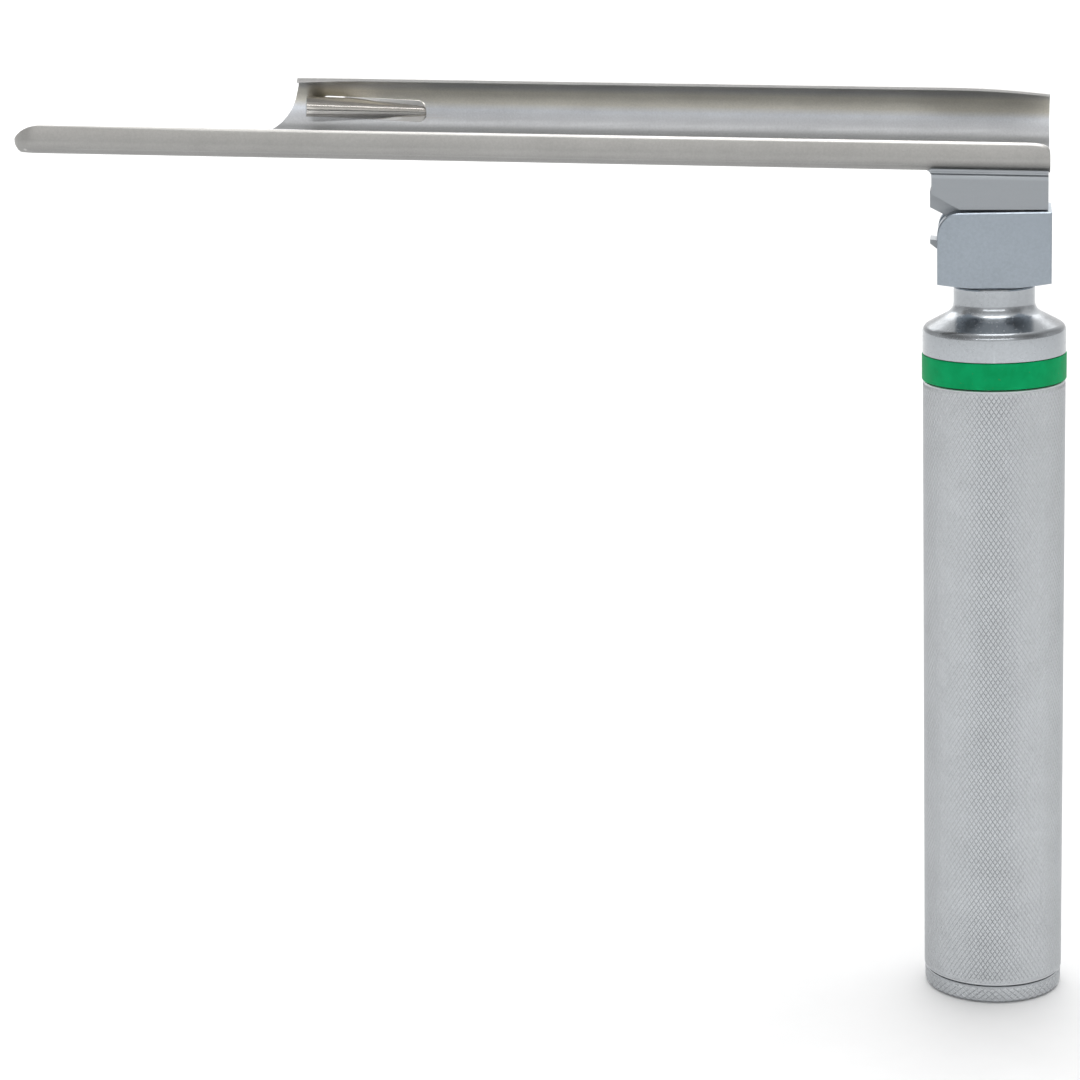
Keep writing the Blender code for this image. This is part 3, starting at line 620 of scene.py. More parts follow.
def blade_steel():
    """Brushed outside of the near wall with painted shade towards its bottom; inside the trough, bands of
    painted highlight, painted warm reflection and painted shade.
    """
    look = Surface("satin_blade")
    clouds, fine, lines = look.metal_noises(FINE_GRAIN, (0.03, 1.0, 1.0))
    parts = look.parts()
    height = blade_height(look)
    behind = look.rising(parts["Y"], -6.95 * MM, -6.75 * MM)
    above = look.rising(height, BLADE_UNDERSIDE + 1.15 * MM, BLADE_UNDERSIDE + 1.27 * MM)
    past_nose = look.rising(parts["X"], BLADE_TIP + 9.0 * MM, BLADE_TIP + 16.0 * MM)
    inside = look.times(look.times(behind, above), past_nose)
    # Painted shade: the outside of the near wall darkens towards its lower edge
    upward = look.rising(height, BLADE_UNDERSIDE + 0.3 * MM, BLADE_UNDERSIDE + 5.2 * MM)
    outside = look.blend(upward, BRUSHED_SHADED, BRUSHED_LIT)
    # Bands by height inside the trough: painted highlight in the middle, painted warm reflection above it,
    # painted shade under the lip and low on the far side
    warm_reflection_band = look.rising(height, BLADE_UNDERSIDE + 9.2 * MM, BLADE_UNDERSIDE + 10.6 * MM)
    low_inside_shade = look.falling(height, BLADE_UNDERSIDE + 5.4 * MM, BLADE_UNDERSIDE + 8.8 * MM)
    lip_shade = look.rising(height, BLADE_UNDERSIDE + 12.9 * MM, BLADE_UNDERSIDE + 14.1 * MM)
    far_side = look.rising(parts["Y"], 0.0, 3.0 * MM)
    trough = look.blend(warm_reflection_band, PAINTED_HIGHLIGHT_INSIDE, PAINTED_WARM_REFLECTION)
    trough = look.blend(lip_shade, trough, PAINTED_SHADE_UNDER_LIP)
    trough = look.blend(look.times(low_inside_shade, far_side), trough, PAINTED_SHADE_LOW_INSIDE)
    finish = look.blend(inside, outside, trough)
    # Painted shade low on the near wall, just over the heel, where the corner lies in shade
    over_heel = look.rising(parts["X"], BASE_FRONT - 1.2 * MM, BASE_FRONT + 0.6 * MM)
    low = look.falling(height, BLADE_UNDERSIDE + 0.4 * MM, BLADE_UNDERSIDE + 2.3 * MM)
    finish = look.blend(look.times(over_heel, low), finish, SHADE_OVER_HEEL)
    patch = look.blend(look.spread(clouds, 0.0, 1.0), (0.95, 0.95, 0.95), (1.05, 1.05, 1.05))
    speck = look.blend(look.spread(fine, 0.0, 1.0, 0.35, 0.7), (0.94, 0.94, 0.94), (1.07, 1.07, 1.07))
    # Paler edges by pointiness: partly wear, partly painted highlight
    edges = look.node("ShaderNodeNewGeometry").outputs["Pointiness"]
    tone = look.product(look.product(finish, patch), speck)
    look.colour(look.blend(look.spread(edges, 0.0, 0.6, 0.55, 0.65), tone, WORN_EDGE_AND_HIGHLIGHT))
    coarse = look.spread(lines, 0.36, 0.46)
    polished = look.spread(lines, 0.38, 0.46)
    mix = look.node("ShaderNodeMix", data_type="FLOAT")
    for value, socket in ((inside, "Factor"), (coarse, "A"), (polished, "B")):
        look.link(value, mix.inputs[socket])
    look.roughness(mix.outputs["Result"])
    look.bump((fine, 0.35, 0.008 * MM), (lines, 0.25, 0.004 * MM))
    return look.material


def plain_mix(name, first, second, roughness, scale, metallic=0.0, depth=0.01):
    look = Surface(name, metallic)
    patches = look.noise(scale, 4.0, roughness=0.6)
    look.colour(look.blend(look.rising(patches, 0.35, 0.65), first, second))
    look.roughness(look.spread(patches, roughness - 0.04, roughness + 0.05))
    look.bump((look.noise(scale * 6.0, 3.0), 0.3, depth * MM))
    return look


BLADE = blade_steel()
HEAD = worn_steel("blasted_head", (0.36, 0.405, 0.452), 0.36, 1900.0, 0.026, edge_wear_and_highlight_tint=1.0)
# Heel: painted highlight along its top edge and painted shade on the recessed hook plate
HEEL = worn_steel(
    "milled_heel", (0.272, 0.289, 0.306), 0.36, 2200.0, 0.010, (0.05, 1.0, 1.0),
    band=heel_edge_highlight, band_tint=1.9, shade=hook_recess_shade, edge_wear_and_highlight_tint=1.5,
)
# Turned collar: painted dark reflection on its cone and painted shade towards its silhouette
COLLAR = worn_steel(
    "turned_collar", (0.46, 0.485, 0.51), 0.215, 2600.0, 0.002, turned_rings=0.002,
    band=cone_reflection_shade, band_tint=0.58, side_shade_tint=0.78,
)
GRIP = worn_steel("knurled_grip", (0.57, 0.59, 0.61), 0.42, 2200.0, 0.006, side_shade_tint=0.74)
GUIDE = worn_steel("polished_tube", (0.48, 0.46, 0.43), 0.17, 2600.0, 0.003, (0.02, 1.0, 1.0))
# Near-white, barely metallic solder: its whiteness is partly painted highlight standing in for reflected
# light
SOLDER = plain_mix(
    "solder_painted_bright", (0.95, 0.945, 0.93), (0.98, 0.975, 0.965), 0.35, 900.0, metallic=0.1, depth=0.002
).material
THREAD = worn_steel("cut_thread", (0.42, 0.43, 0.44), 0.28, 2600.0, 0.004)


def green_band():
    look = plain_mix("green_band", (0.001, 0.30, 0.095), (0.003, 0.38, 0.13), 0.5, 260.0, depth=0.006)
    specks = look.noise(1500.0, 2.0)
    under = look.shader.inputs["Base Color"].links[0].from_socket
    look.colour(look.blend(look.spread(specks, 0.0, 0.55, 0.70, 0.78), under, (0.14, 0.16, 0.03)))
    look.shader.inputs["Specular IOR Level"].default_value = 0.06
    return look.material


def clear_glass():
    look = plain_mix("lamp_glass", (0.90, 0.93, 0.95), (0.97, 0.98, 1.0), 0.06, 300.0)
    look.shader.inputs["Transmission Weight"].default_value = 0.85
    look.shader.inputs["IOR"].default_value = 1.5
    return look.material


def fibre_end():
    """Packed fibres: small pale cells with darker joints."""
    look = Surface("fibre_glass", 0.0)
    cells = look.node("ShaderNodeTexVoronoi")
    cells.inputs["Scale"].default_value = 5500.0
    look.link(look.where, cells.inputs["Vector"])
    outward = cells.outputs["Distance"]
    look.colour(look.blend(look.rising(outward, 0.1, 0.7), (0.86, 0.90, 0.90), (0.30, 0.33, 0.34)))
    look.roughness(look.spread(outward, 0.1, 0.4, 0.0, 1.0))
    look.bump((outward, 0.4, 0.02 * MM))
    return look.material


def cell_jacket():
    """Printed sleeve of a cell: dark foil with a copper-coloured band above a seam."""
    look = Surface("cell_can", 0.35)
    wave = look.node("ShaderNodeMath", operation="PINGPONG")
    wave.inputs[1].default_value = 25.0 * MM
    look.link(look.parts()["Z"], wave.inputs[0])
    band = look.rising(wave.outputs["Value"], 7.0 * MM, 7.3 * MM)
    grain = look.noise(700.0, 3.0)
    dark = look.blend(look.spread(grain, 0.0, 1.0), (0.018, 0.020, 0.026), (0.034, 0.036, 0.044))
    copper = look.blend(look.spread(grain, 0.0, 1.0), (0.50, 0.24, 0.09), (0.60, 0.31, 0.13))
    look.colour(look.blend(band, copper, dark))
    look.roughness(look.spread(grain, 0.24, 0.34))
    look.bump((grain, 0.2, 0.01 * MM))
    return look.material


GREEN = green_band()
BRASS = plain_mix("contact_brass", (0.62, 0.44, 0.16), (0.76, 0.57, 0.25), 0.26, 420.0, metallic=1.0).material
RUBBER = plain_mix("seal_rubber", (0.012, 0.012, 0.013), (0.030, 0.030, 0.032), 0.62, 900.0).material
PLASTIC = plain_mix("insulator_plastic", (0.66, 0.63, 0.56), (0.74, 0.72, 0.66), 0.45, 500.0).material
GLASS = clear_glass()
FIBRE = fibre_end()
JACKET = cell_jacket()
SPRING = worn_steel("spring_wire", (0.50, 0.50, 0.50), 0.22, 4000.0, 0.003)


# ---------------------------------------------------------------- handle


def knurl(shape, around, rows, profile):
    """Flat-topped diamonds between crossing grooves; profile(t, depth) gives (radius, z)."""
    columns = 2 * around
    half_rows = 2 * rows

    def point(column, row, depth):
        angle = 2.0 * math.pi * column / columns
        radius, z = profile(row / half_rows, depth)
        return (radius * math.cos(angle), radius * math.sin(angle), z)

    crossing = {}
    for row in range(half_rows + 1):
        for column in range(columns):
            if (column + row) % 2:
                crossing[column, row] = shape.verts.new(point(column, row, KNURL_DEPTH))
    for row in range(half_rows + 1):
        for column in range(columns):
            if (column + row) % 2:
                continue
            right = crossing[(column + 1) % columns, row]
            left = crossing[(column - 1) % columns, row]
            if row in (0, half_rows):
                inner_row = 1 if row == 0 else half_rows - 1
                shape.faces.new([left, right, crossing[column, inner_row]])
                continue
            corners = [right, crossing[column, row + 1], left, crossing[column, row - 1]]
            tops = []
            for across, along in ((1, 0), (0, 1), (-1, 0), (0, -1)):
                top = point(column + KNURL_TOP * across, row + KNURL_TOP * along, 0.0)
                tops.append(shape.verts.new(top))
            shape.faces.new(tops)
            bridge(shape, corners, tops)
    low = [crossing[column, 0] for column in range(1, columns, 2)]
    high = [crossing[column, half_rows] for column in range(1, columns, 2)]
    return low, high


def grip_tube():
    shape = bmesh.new()
    edge = 0.45 * MM
    low_z = TUBE_BOTTOM + edge
    high_z = TUBE_TOP - edge

    def profile(t, depth):
        return TUBE_RADIUS - depth, low_z + (high_z - low_z) * t

    low, high = knurl(shape, KNURLS_AROUND, KNURL_ROWS, profile)
    inside = TUBE_RADIUS - TUBE_WALL
    band = TUBE_RADIUS - 0.02 * MM
    plain = [
        (band, TUBE_TOP - 0.38 * MM),
        (band, TUBE_TOP - 0.14 * MM),
        (TUBE_RADIUS - 0.16 * MM, TUBE_TOP),
        (inside, TUBE_TOP),
        (inside, TUBE_BOTTOM),
        (TUBE_RADIUS - 0.20 * MM, TUBE_BOTTOM),
        (band, TUBE_BOTTOM + 0.16 * MM),
        (band, TUBE_BOTTOM + 0.38 * MM),
    ]
    bridge_all(shape, [high] + half_turned_rings(shape, plain, KNURLS_AROUND) + [low])
    place("grip_tube", shape, GRIP, "handle", ["handle_tube"], "grip_steel", smooth=24.0)


def green_ring():
    inside = SPIGOT_RADIUS + 0.1 * MM
    soft = 0.22 * MM
    profile = arc((RING_RADIUS - soft, RING_BOTTOM + soft), soft, -90.0, 0.0, 5)
    profile += arc((RING_RADIUS - soft, RING_TOP - soft), soft, 0.0, 90.0, 5)
    profile += [(inside, RING_TOP), (inside, RING_BOTTOM)]
    place("green_band", turned(profile, segments=192), GREEN, "handle", ["green_ring"], "green_ring")


def neck_collar():
    fillet = (NECK_RADIUS + NECK_FILLET, NECK_FILLET_Z)
    profile = [(SPIGOT_RADIUS, SPIGOT_BOTTOM), (SPIGOT_RADIUS, COLLAR_BOTTOM)]
    profile += arc((COLLAR_RADIUS - 0.15 * MM, COLLAR_BOTTOM + 0.15 * MM), 0.15 * MM, -90.0, 0.0, 3)
    profile += arc((COLLAR_RADIUS - SHOULDER_ROUND, SHOULDER_Z), SHOULDER_ROUND, 0.0, 61.0, 14)
    profile += arc(fillet, NECK_FILLET, 241.0, 180.0, 16)
    profile += [
        (NECK_RADIUS, NECK_TOP - 0.2 * MM),
        (NECK_RADIUS - 0.15 * MM, NECK_TOP + 0.05 * MM),
        (HEAD_SPIGOT_RADIUS, NECK_TOP + 0.05 * MM),
        (HEAD_SPIGOT_RADIUS, HEAD_SPIGOT_TOP),
        (0.0, HEAD_SPIGOT_TOP),
        (0.0, SPIGOT_FLOOR),
        (SPIGOT_BORE, SPIGOT_FLOOR),
        (SPIGOT_BORE, SPIGOT_BOTTOM),
    ]
    collar = turned(profile, segments=192)
    place("turned_collar", collar, COLLAR, "handle", ["neck_collar"], "grip_steel", smooth=28.0)


def head_fork():
    outline = [(-HEAD_HALF_WIDTH, HEAD_BOTTOM), (HEAD_HALF_WIDTH, HEAD_BOTTOM), (HEAD_HALF_WIDTH, HEAD_TOP)]
    outline += arc(PIN, NOSE_RADIUS, 90.0, 180.0, 28)
    head = eased_prism(outline, -HEAD_HALF_DEPTH, HEAD_HALF_DEPTH, HEAD_EDGE)
    reach = 16.0 * MM
    inner = NECK_RADIUS - 2.0 * MM
    deep = HEAD_BOTTOM - 3.0 * MM
    relief = [
        (inner, deep),
        (reach, deep),
        (reach, HEAD_BOTTOM + HEAD_SLOPE * (reach - NECK_RADIUS)),
        (inner, HEAD_BOTTOM + HEAD_SLOPE * (inner - NECK_RADIUS)),
    ]
    head = carve(head, turned(relief, segments=128))
    past = 1.0 * MM
    above = HEAD_TOP + past
    left = -HEAD_HALF_WIDTH - past
    slot = [(left, SLOT_FLOOR), (SLOT_BACK, SLOT_FLOOR), (SLOT_BACK, above), (left, above)]
    head = carve(head, prism(slot, -SLOT_HALF_WIDTH, SLOT_HALF_WIDTH))
    pocket = [(0.0, LAMP_FLOOR), (LAMP_BORE, LAMP_FLOOR), (LAMP_BORE, above), (0.0, above)]
    head = carve(head, turned(pocket, (LAMP_X, 0.0), 64))
    place("head_block", head, HEAD, "handle", ["head_fork"], "satin_steel")


def hinge_pin():
    outline = arc(PIN, PIN_RADIUS, 0.0, 352.5, 47)
    half = SLOT_HALF_WIDTH + 0.6 * MM
    place("cross_pin", prism(outline, -half, half), THREAD, "handle", ["hinge_pin"], "bright_steel")


# ---------------------------------------------------------------- screw cap


def screw_cap():
    """Knurled rim that runs on round the lower edge, a sealed spigot and its thread."""
    shape = bmesh.new()
    rim_top = CAP_RIM_TOP - 0.2 * MM
    start = -78.0
    bend = CAP_EDGE * math.radians(-start)
    straight = rim_top - CAP_EDGE

    def profile(t, depth):
        along = t * (bend + straight)
        if along > bend:
            return CAP_RADIUS - depth, CAP_EDGE + along - bend
        angle = math.radians(start) + along / CAP_EDGE
        radius = CAP_EDGE - depth
        return CAP_RADIUS - CAP_EDGE + radius * math.cos(angle), CAP_EDGE + radius * math.sin(angle)

    low, high = knurl(shape, CAP_KNURLS, CAP_KNURL_ROWS, profile)
    outer = CAP_RADIUS - 0.02 * MM
    first = SEAL_MID + SEAL_GROOVE + 0.15 * MM
    rim = [
        (outer - 0.04 * MM, rim_top + 0.06 * MM),
        (outer - 0.18 * MM, CAP_RIM_TOP),
        (CAP_SPIGOT_RADIUS, CAP_RIM_TOP),
        (CAP_SPIGOT_RADIUS, SEAL_MID - SEAL_GROOVE),
        (SEAL_FLOOR, SEAL_MID - SEAL_GROOVE),
        (SEAL_FLOOR, SEAL_MID + SEAL_GROOVE),
        (CAP_SPIGOT_RADIUS, SEAL_MID + SEAL_GROOVE),
        (CAP_SPIGOT_RADIUS, first),
    ]
    rings = [high] + half_turned_rings(shape, rim, CAP_KNURLS)
    steps = 48
    for step in range(1, steps):
        z = first + (CAP_SPIGOT_TOP - first) * step / steps
        ring = []
        for column in range(CAP_KNURLS):
            turn = (column + 0.5) / CAP_KNURLS
            phase = ((z - first) / THREAD_PITCH - turn) % 1.0
            tooth = min(1.0, max(0.0, 2.0 * abs(2.0 * phase - 1.0) - 0.5))
            fade = min(1.0, (z - first) / (0.8 * MM), (CAP_SPIGOT_TOP - z) / (0.4 * MM))
            radius = CAP_SPIGOT_RADIUS - THREAD_DEPTH * (1.0 - tooth * fade)
            angle = 2.0 * math.pi * turn
            ring.append(shape.verts.new((radius * math.cos(angle), radius * math.sin(angle), z)))
        rings.append(ring)
    bore = [
        (CAP_SPIGOT_RADIUS - 0.5 * MM, CAP_SPIGOT_TOP),
        (CAP_BORE, CAP_SPIGOT_TOP),
        (CAP_BORE, CAP_FLOOR),
        (0.0, CAP_FLOOR),
    ]
    bridge_all(shape, rings + half_turned_rings(shape, bore, CAP_KNURLS))
    base = [
        (CAP_RADIUS - CAP_EDGE + 0.1 * MM, 0.0),
        (CAP_FOOT, 0.0),
        (CAP_FOOT - 0.3 * MM, CAP_RECESS),
        (0.0, CAP_RECESS),
    ]
    bridge_all(shape, [low] + half_turned_rings(shape, base, CAP_KNURLS))
    place("knurled_cap", shape, GRIP, "cap", ["bottom_cap"], "grip_steel", smooth=24.0)


# ---------------------------------------------------------------- blade


def underside(x):
    return BLADE_UNDERSIDE - BLADE_RISE * x


def quarter(part):
    part = min(max(part, 0.0), 1.0)
    return math.sqrt(1.0 - (1.0 - part) ** 2)


def web_angle(height):
    return -math.degrees(math.asin((WEB_RADIUS - height) / WEB_RADIUS))


def spatula_outer(wall, rim=1.0):
    """Outside of the trough, from the top of the near wall's rim to the seam."""
    scale = min(rim, (wall - WALL_FILLET) / (0.75 * MM)) * MM
    points = [(WALL_Y + across * scale, wall + down * scale) for across, down in RIM_BEVEL]
    points += arc((WALL_Y + WALL_FILLET, WALL_FILLET), WALL_FILLET, 181.0, 270.0, 18)
    points += arc((0.0, WEB_RADIUS), WEB_RADIUS, -90.0, web_angle(SEAM), 12)
    return points


def spatula_inner(wall):
    """Inside of the trough, from the seam back to the top of the near wall's rim."""
    points = arc((0.0, WEB_RADIUS), WEB_RADIUS - SHEET, web_angle(SEAM), -90.0, 12)
    points += arc((WALL_Y + WALL_FILLET, WALL_FILLET), WALL_FILLET - SHEET, 270.0, 181.0, 12)
    points += arc((WALL_Y + SHEET - 0.3 * MM, wall - 0.3 * MM), 0.3 * MM, 0.0, 90.0, 4)
    return points


def rim_scale(x):
    """The bevel on the rim of the near wall thins out towards the tip."""
    return min(1.0, 0.2 + 0.8 * (x - BLADE_TIP) / (45.0 * MM))


def nose_points(distance):
    """Section near the tip, where the near wall runs down and round the end of the spatula."""
    ceiling = NOSE_HIGH + (WALL_HEIGHT - NOSE_HIGH) * quarter(distance / NOSE_LENGTH) ** 1.95
    wall = max(ceiling, WALL_FILLET + 0.1 * MM)
    floor = NOSE_LOW * max(0.0, 1.0 - (distance / NOSE_CUT) ** 2) ** 1.5
    inward = max(distance - SHEET, 0.0)
    outer_width = quarter(distance / NOSE_PLAN)
    inner_width = quarter(inward / NOSE_PLAN)
    outer = spatula_outer(wall, rim_scale(BLADE_TIP + distance))
    section = [(y * outer_width, max(min(z, ceiling), floor)) for y, z in outer]
    for y, z in spatula_inner(wall):
        bottom = max(z, floor + 0.8 * SHEET) if inward > 0.0 else ceiling
        section.append((y * inner_width, min(bottom, ceiling)))
    return section


def at(section, x):
    return [Vector((x, y, underside(x) + z)) for y, z in section]


def blade_spatula():
    sections = []
    for step in range(13):
        part = step / 12
        wall = WALL_FILLET + (WALL_HEIGHT - WALL_FILLET) * quarter(part)
        wall = max(wall, WALL_FILLET + 0.1 * MM)
        x = BLADE_BACK - HEEL_CORNER * part * part
        sections.append(at(spatula_outer(wall) + spatula_inner(wall), x))
    for x in (-20.0, -60.0, -100.0, -140.0, -155.0, -172.0):
        rim = rim_scale(x * MM)
        sections.append(at(spatula_outer(WALL_HEIGHT, rim) + spatula_inner(WALL_HEIGHT), x * MM))
    steps = 26
    for step in range(steps):
        distance = NOSE_LENGTH * (1.0 - math.sin(0.5 * math.pi * step / steps))
        sections.append(at(nose_points(distance), BLADE_TIP + distance))
    sections.append(at(nose_points(0.01 * MM), BLADE_TIP))
    place("spatula_skin", loft(sections), BLADE, "blade", ["blade_spatula"], "blade_steel", smooth=38.0)


def notch_edge(height):
    """X of the distal end of the web at a height above the underside."""
    for (low, low_x), (high, high_x) in zip(NOTCH_EDGE, NOTCH_EDGE[1:]):
        if height <= high * MM:
            part = (height - low * MM) / ((high - low) * MM)
            return (low_x + (high_x - low_x) * part) * MM
    return NOTCH_EDGE[-1][1] * MM


def flange_loop(lip):
    """Closed section of the web and flange above the seam, with a rounded lip."""
    start = web_angle(SEAM)
    loop = arc((0.0, WEB_RADIUS), WEB_RADIUS, start, 90.0, WEB_STEPS)
    top = 2.0 * WEB_RADIUS
    soft = 0.24 * lip
    loop += arc((LIP_Y + soft, top - soft), soft, 90.0, 180.0, 5)
    loop += arc((LIP_Y + soft, top - lip + soft), soft, 180.0, 270.0, 4)
    for step in range(WEB_STEPS + 1):
        part = step / WEB_STEPS
        angle = math.radians(90.0 + (start - 90.0) * part)
        wall = SHEET + (lip - SHEET) * max(0.0, 1.0 - 3.2 * part) ** 1.5
        radius = WEB_RADIUS - wall
        loop.append((radius * math.cos(angle), WEB_RADIUS + radius * math.sin(angle)))
    return loop


def flange_row(part):
    """Ring of the flange: part 0 at the distal notch, 1 at the heel end."""
    row = []
    plain = flange_loop(LIP_SHEET)
    deep = flange_loop(LIP_SHEET + LIP_THICKENING)
    for (y, z), (deep_y, deep_z) in zip(plain, deep):
        left = notch_edge(z)
        x = left + (BLADE_BACK - left) * part
        near_notch = max(0.0, 1.0 - (x - left) / (13.0 * MM)) ** 1.4
        y += (deep_y - y) * near_notch
        z += (deep_z - z) * near_notch
        dip = max(0.0, (x - DIP_START) / (BLADE_BACK - DIP_START))
        z -= FLANGE_DIP * dip**2 * (z / (2.0 * WEB_RADIUS)) ** 2
        row.append(Vector((x, y, underside(x) + z)))
    return row


def sheet_cap(shape, row):
    """Close the end of the curved sheet with pairs of faces, outer skin to inner."""
    for step in range(WEB_STEPS):
        shape.faces.new([row[step], row[step + 1], row[-2 - step], row[-1 - step]])
    shape.faces.new(row[WEB_STEPS : len(row) - WEB_STEPS])


def guide_height(x):
    fall = (x - SLOT_LEFT) / (SLOT_RIGHT - SLOT_LEFT)
    return underside(x) + (9.5 - 0.95 * fall) * MM


def blade_flange():
    parts = [0.0, 0.012, 0.03, 0.055, 0.085, 0.12, 0.25, 0.4, 0.55, 0.7, 0.82]
    parts += [0.86 + 0.14 * step / 10 for step in range(11)]
    skin = loft([flange_row(part) for part in parts], sheet_cap)
    left_x = SLOT_LEFT + SLOT_HALF_HEIGHT
    right_x = SLOT_RIGHT - SLOT_HALF_HEIGHT
    right = (right_x, guide_height(right_x) + 0.1 * MM)
    left = (left_x, guide_height(left_x))
    corner = 1.5 * MM
    flat = SLOT_HALF_HEIGHT - corner
    outline = arc((right[0] + flat, right[1] - flat), corner, -90.0, 0.0, 12)
    outline += arc((right[0] + flat, right[1] + flat), corner, 0.0, 90.0, 12)
    outline += arc(left, SLOT_HALF_HEIGHT, 90.0, 270.0, 24)
    skin = carve(skin, prism(outline, 2.0 * MM, 12.0 * MM))
    place("flange_skin", skin, BLADE, "blade", ["blade_flange"], "blade_steel", smooth=38.0, bevel=0.07 * MM)


# ---------------------------------------------------------------- heel


def base_bottom(x):
    return BASE_BOTTOM - BASE_TILT * x


def heel_low(x):
    """Lower edge of the heel block: a fillet under the spatula, an upright front, a chamfer, the face."""
    if x < BASE_FRONT:
        reach = x - (BASE_FRONT - FRONT_FILLET)
        return underside(x) - FRONT_FILLET + math.sqrt(max(FRONT_FILLET**2 - reach**2, 0.0))
    if x < CHAMFER_END:
        part = (x - BASE_FRONT) / (CHAMFER_END - BASE_FRONT)
        return CHAMFER_TOP + (base_bottom(CHAMFER_END) - CHAMFER_TOP) * part
    return base_bottom(x)


def heel_section(x):
    """Across the heel block: the near side is filleted into the rolled edge of the spatula."""
    near = -BASE_HALF_DEPTH
    section = [(near, None), (near, -0.84)]
    section += [(near + y * MM, z) for y, z in arc((0.28, -0.83), 0.28, 180.0, 75.0, 7)]
    section += [(y * MM, z) for y, z in HEEL_TOP]
    section += [(BASE_HALF_DEPTH + y * MM, z) for y, z in arc((-0.4, -0.95), 0.4, 90.0, 0.0, 6)]
    section += [(-near, None)]
    low = heel_low(x)
    depth = min(1.0, (underside(x) - low) / FRONT_FILLET)
    reach = FLAT_HALF_WIDTH + (BASE_HALF_DEPTH - FLAT_HALF_WIDTH) * math.sqrt(max(depth, 0.0))
    points = []
    for y, z in section:
        height = low if z is None else max(underside(x) + z * MM, low)
        points.append(Vector((x, min(max(y, -reach), reach), height)))
    return points


def hook_outline():
    """Plate of the hook: a round lower jaw, the notch for the pin and a straight upper jaw."""
    rooted = BASE_FRONT + 1.0 * MM
    outline = [(HOOK_BACK, HOOK_TOP), (HOOK_BACK, PIN[1])]
    outline += arc(PIN, HOOK_RADIUS, 0.0, -143.0, 40)
    outline += [(HOOK_FRONT, LOWER_JAW[0]), (HOOK_FRONT, LOWER_JAW[1])]
    outline += arc(PIN, HOOK_NOTCH, 262.5, 442.5, 32)
    outline += [HOOK_MOUTH, (HOOK_FRONT, UPPER_JAW[0]), (HOOK_FRONT, UPPER_JAW[1])]
    outline += [(rooted, UPPER_JAW[1] + 0.6 * MM), (rooted, HOOK_TOP)]
    return outline


def guide_path():
    """From the light inlet under the heel, out of its far side, along the web and into the trough."""
    inlet = base_bottom(LAMP_X) + 0.1 * MM
    points = [
        Vector((LAMP_X, 0.0, inlet)),
        Vector((LAMP_X, 0.0, inlet + 1.2 * MM)),
        Vector((LAMP_X - 0.2 * MM, 0.9 * MM, inlet + 3.1 * MM)),
        Vector((3.0 * MM, 3.2 * MM, 165.3 * MM)),
        Vector((0.2 * MM, 6.8 * MM, 165.6 * MM)),
        Vector((-6.0 * MM, 9.6 * MM, 166.5 * MM)),
        Vector((-14.0 * MM, 10.4 * MM, 169.9 * MM)),
    ]
    for x, above in ((-26.0 * MM, 5.0 * MM), (-60.0 * MM, 7.6 * MM), (-96.0 * MM, 8.3 * MM)):
        points.append(Vector((x, 10.6 * MM, underside(x) + above)))
    for x, y in ((-107.0, 10.7), (-113.5, 10.0), (-125.0, 6.8), (-137.6, 3.3)):
        points.append(Vector((x * MM, y * MM, guide_height(x * MM))))
    return smooth_path(points, 8)


def heel():
    stops = []
    for step in range(11):
        turn = 0.5 * math.pi * step / 10
        stops.append(BASE_FRONT - FRONT_FILLET * (1.0 - 0.995 * math.sin(turn)))
    stops += [BASE_FRONT, CHAMFER_END, -2.0 * MM, 4.0 * MM, BASE_BACK]
    block = loft([heel_section(x) for x in stops])
    block = carve(block, prism(hook_outline(), -HOOK_HALF_WIDTH, HOOK_HALF_WIDTH), "UNION")
    path = guide_path()
    start = path[0] - Vector((0.0, 0.0, 2.0 * MM))
    inside = [point for point in path if point.x > -15.0 * MM]
    block = carve(block, rod_along([start] + inside, GUIDE_RADIUS + 0.1 * MM, 32))
    seat_low = base_bottom(LAMP_X) - 2.0 * MM
    seat_top = base_bottom(LAMP_X) + FERRULE_HEIGHT + 0.3 * MM
    seat_radius = FERRULE_RADIUS + 0.1 * MM
    seat = [(0.0, seat_low), (seat_radius, seat_low), (seat_radius, seat_top), (0.0, seat_top)]
    block = carve(block, turned(seat, (LAMP_X, 0.0), 48))
    finish = {"bevel": 0.12 * MM, "bevel_angle": 30.0}
    place("heel_block", block, HEEL, "blade", ["blade_base"], "satin_steel", **finish)


def ferrule():
    low = base_bottom(LAMP_X) + 0.15 * MM
    soft = 0.15 * MM
    inside = GUIDE_RADIUS + 0.02 * MM
    profile = arc((FERRULE_RADIUS - soft, low + soft), soft, -90.0, 0.0, 4)
    profile += [(FERRULE_RADIUS, low + FERRULE_HEIGHT), (inside, low + FERRULE_HEIGHT), (inside, low)]
    bush = turned(profile, (LAMP_X, 0.0), 64)
    place("inlet_ferrule", bush, COLLAR, "blade", ["guide_ferrule"], "bright_steel")


def detent_balls():
    for name, node, body, side in (
        ("ball_near", "detent_ball_near", "near_ball", -1.0),
        ("ball_far", "detent_ball_far", "far_ball", 1.0),
    ):
        low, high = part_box(node)
        shape = bmesh.new()
        bmesh.ops.create_uvsphere(shape, u_segments=40, v_segments=20, radius=0.5 * (high[2] - low[2]))
        shape.transform(Matrix.Rotation(math.radians(90.0), 4, "X"))
        shape.transform(Matrix.Translation(0.5 * (Vector(low) + Vector(high))))
        place(name, shape, SPRING, body, [node], "bright_steel")


# ---------------------------------------------------------------- light guide


def light_guide():
    path = guide_path()
    tube = pipe_along(path, GUIDE_RADIUS, GUIDE_BORE, 40)
    place("guide_tube", tube, GUIDE, "blade", ["light_guide_tube"], "bright_steel", bevel=0.06 * MM)
    bundle = rod_along(path, BUNDLE_RADIUS, 28)
    place("guide_bundle", bundle, FIBRE, "blade", ["fibre_bundle"], "fibre_glass")


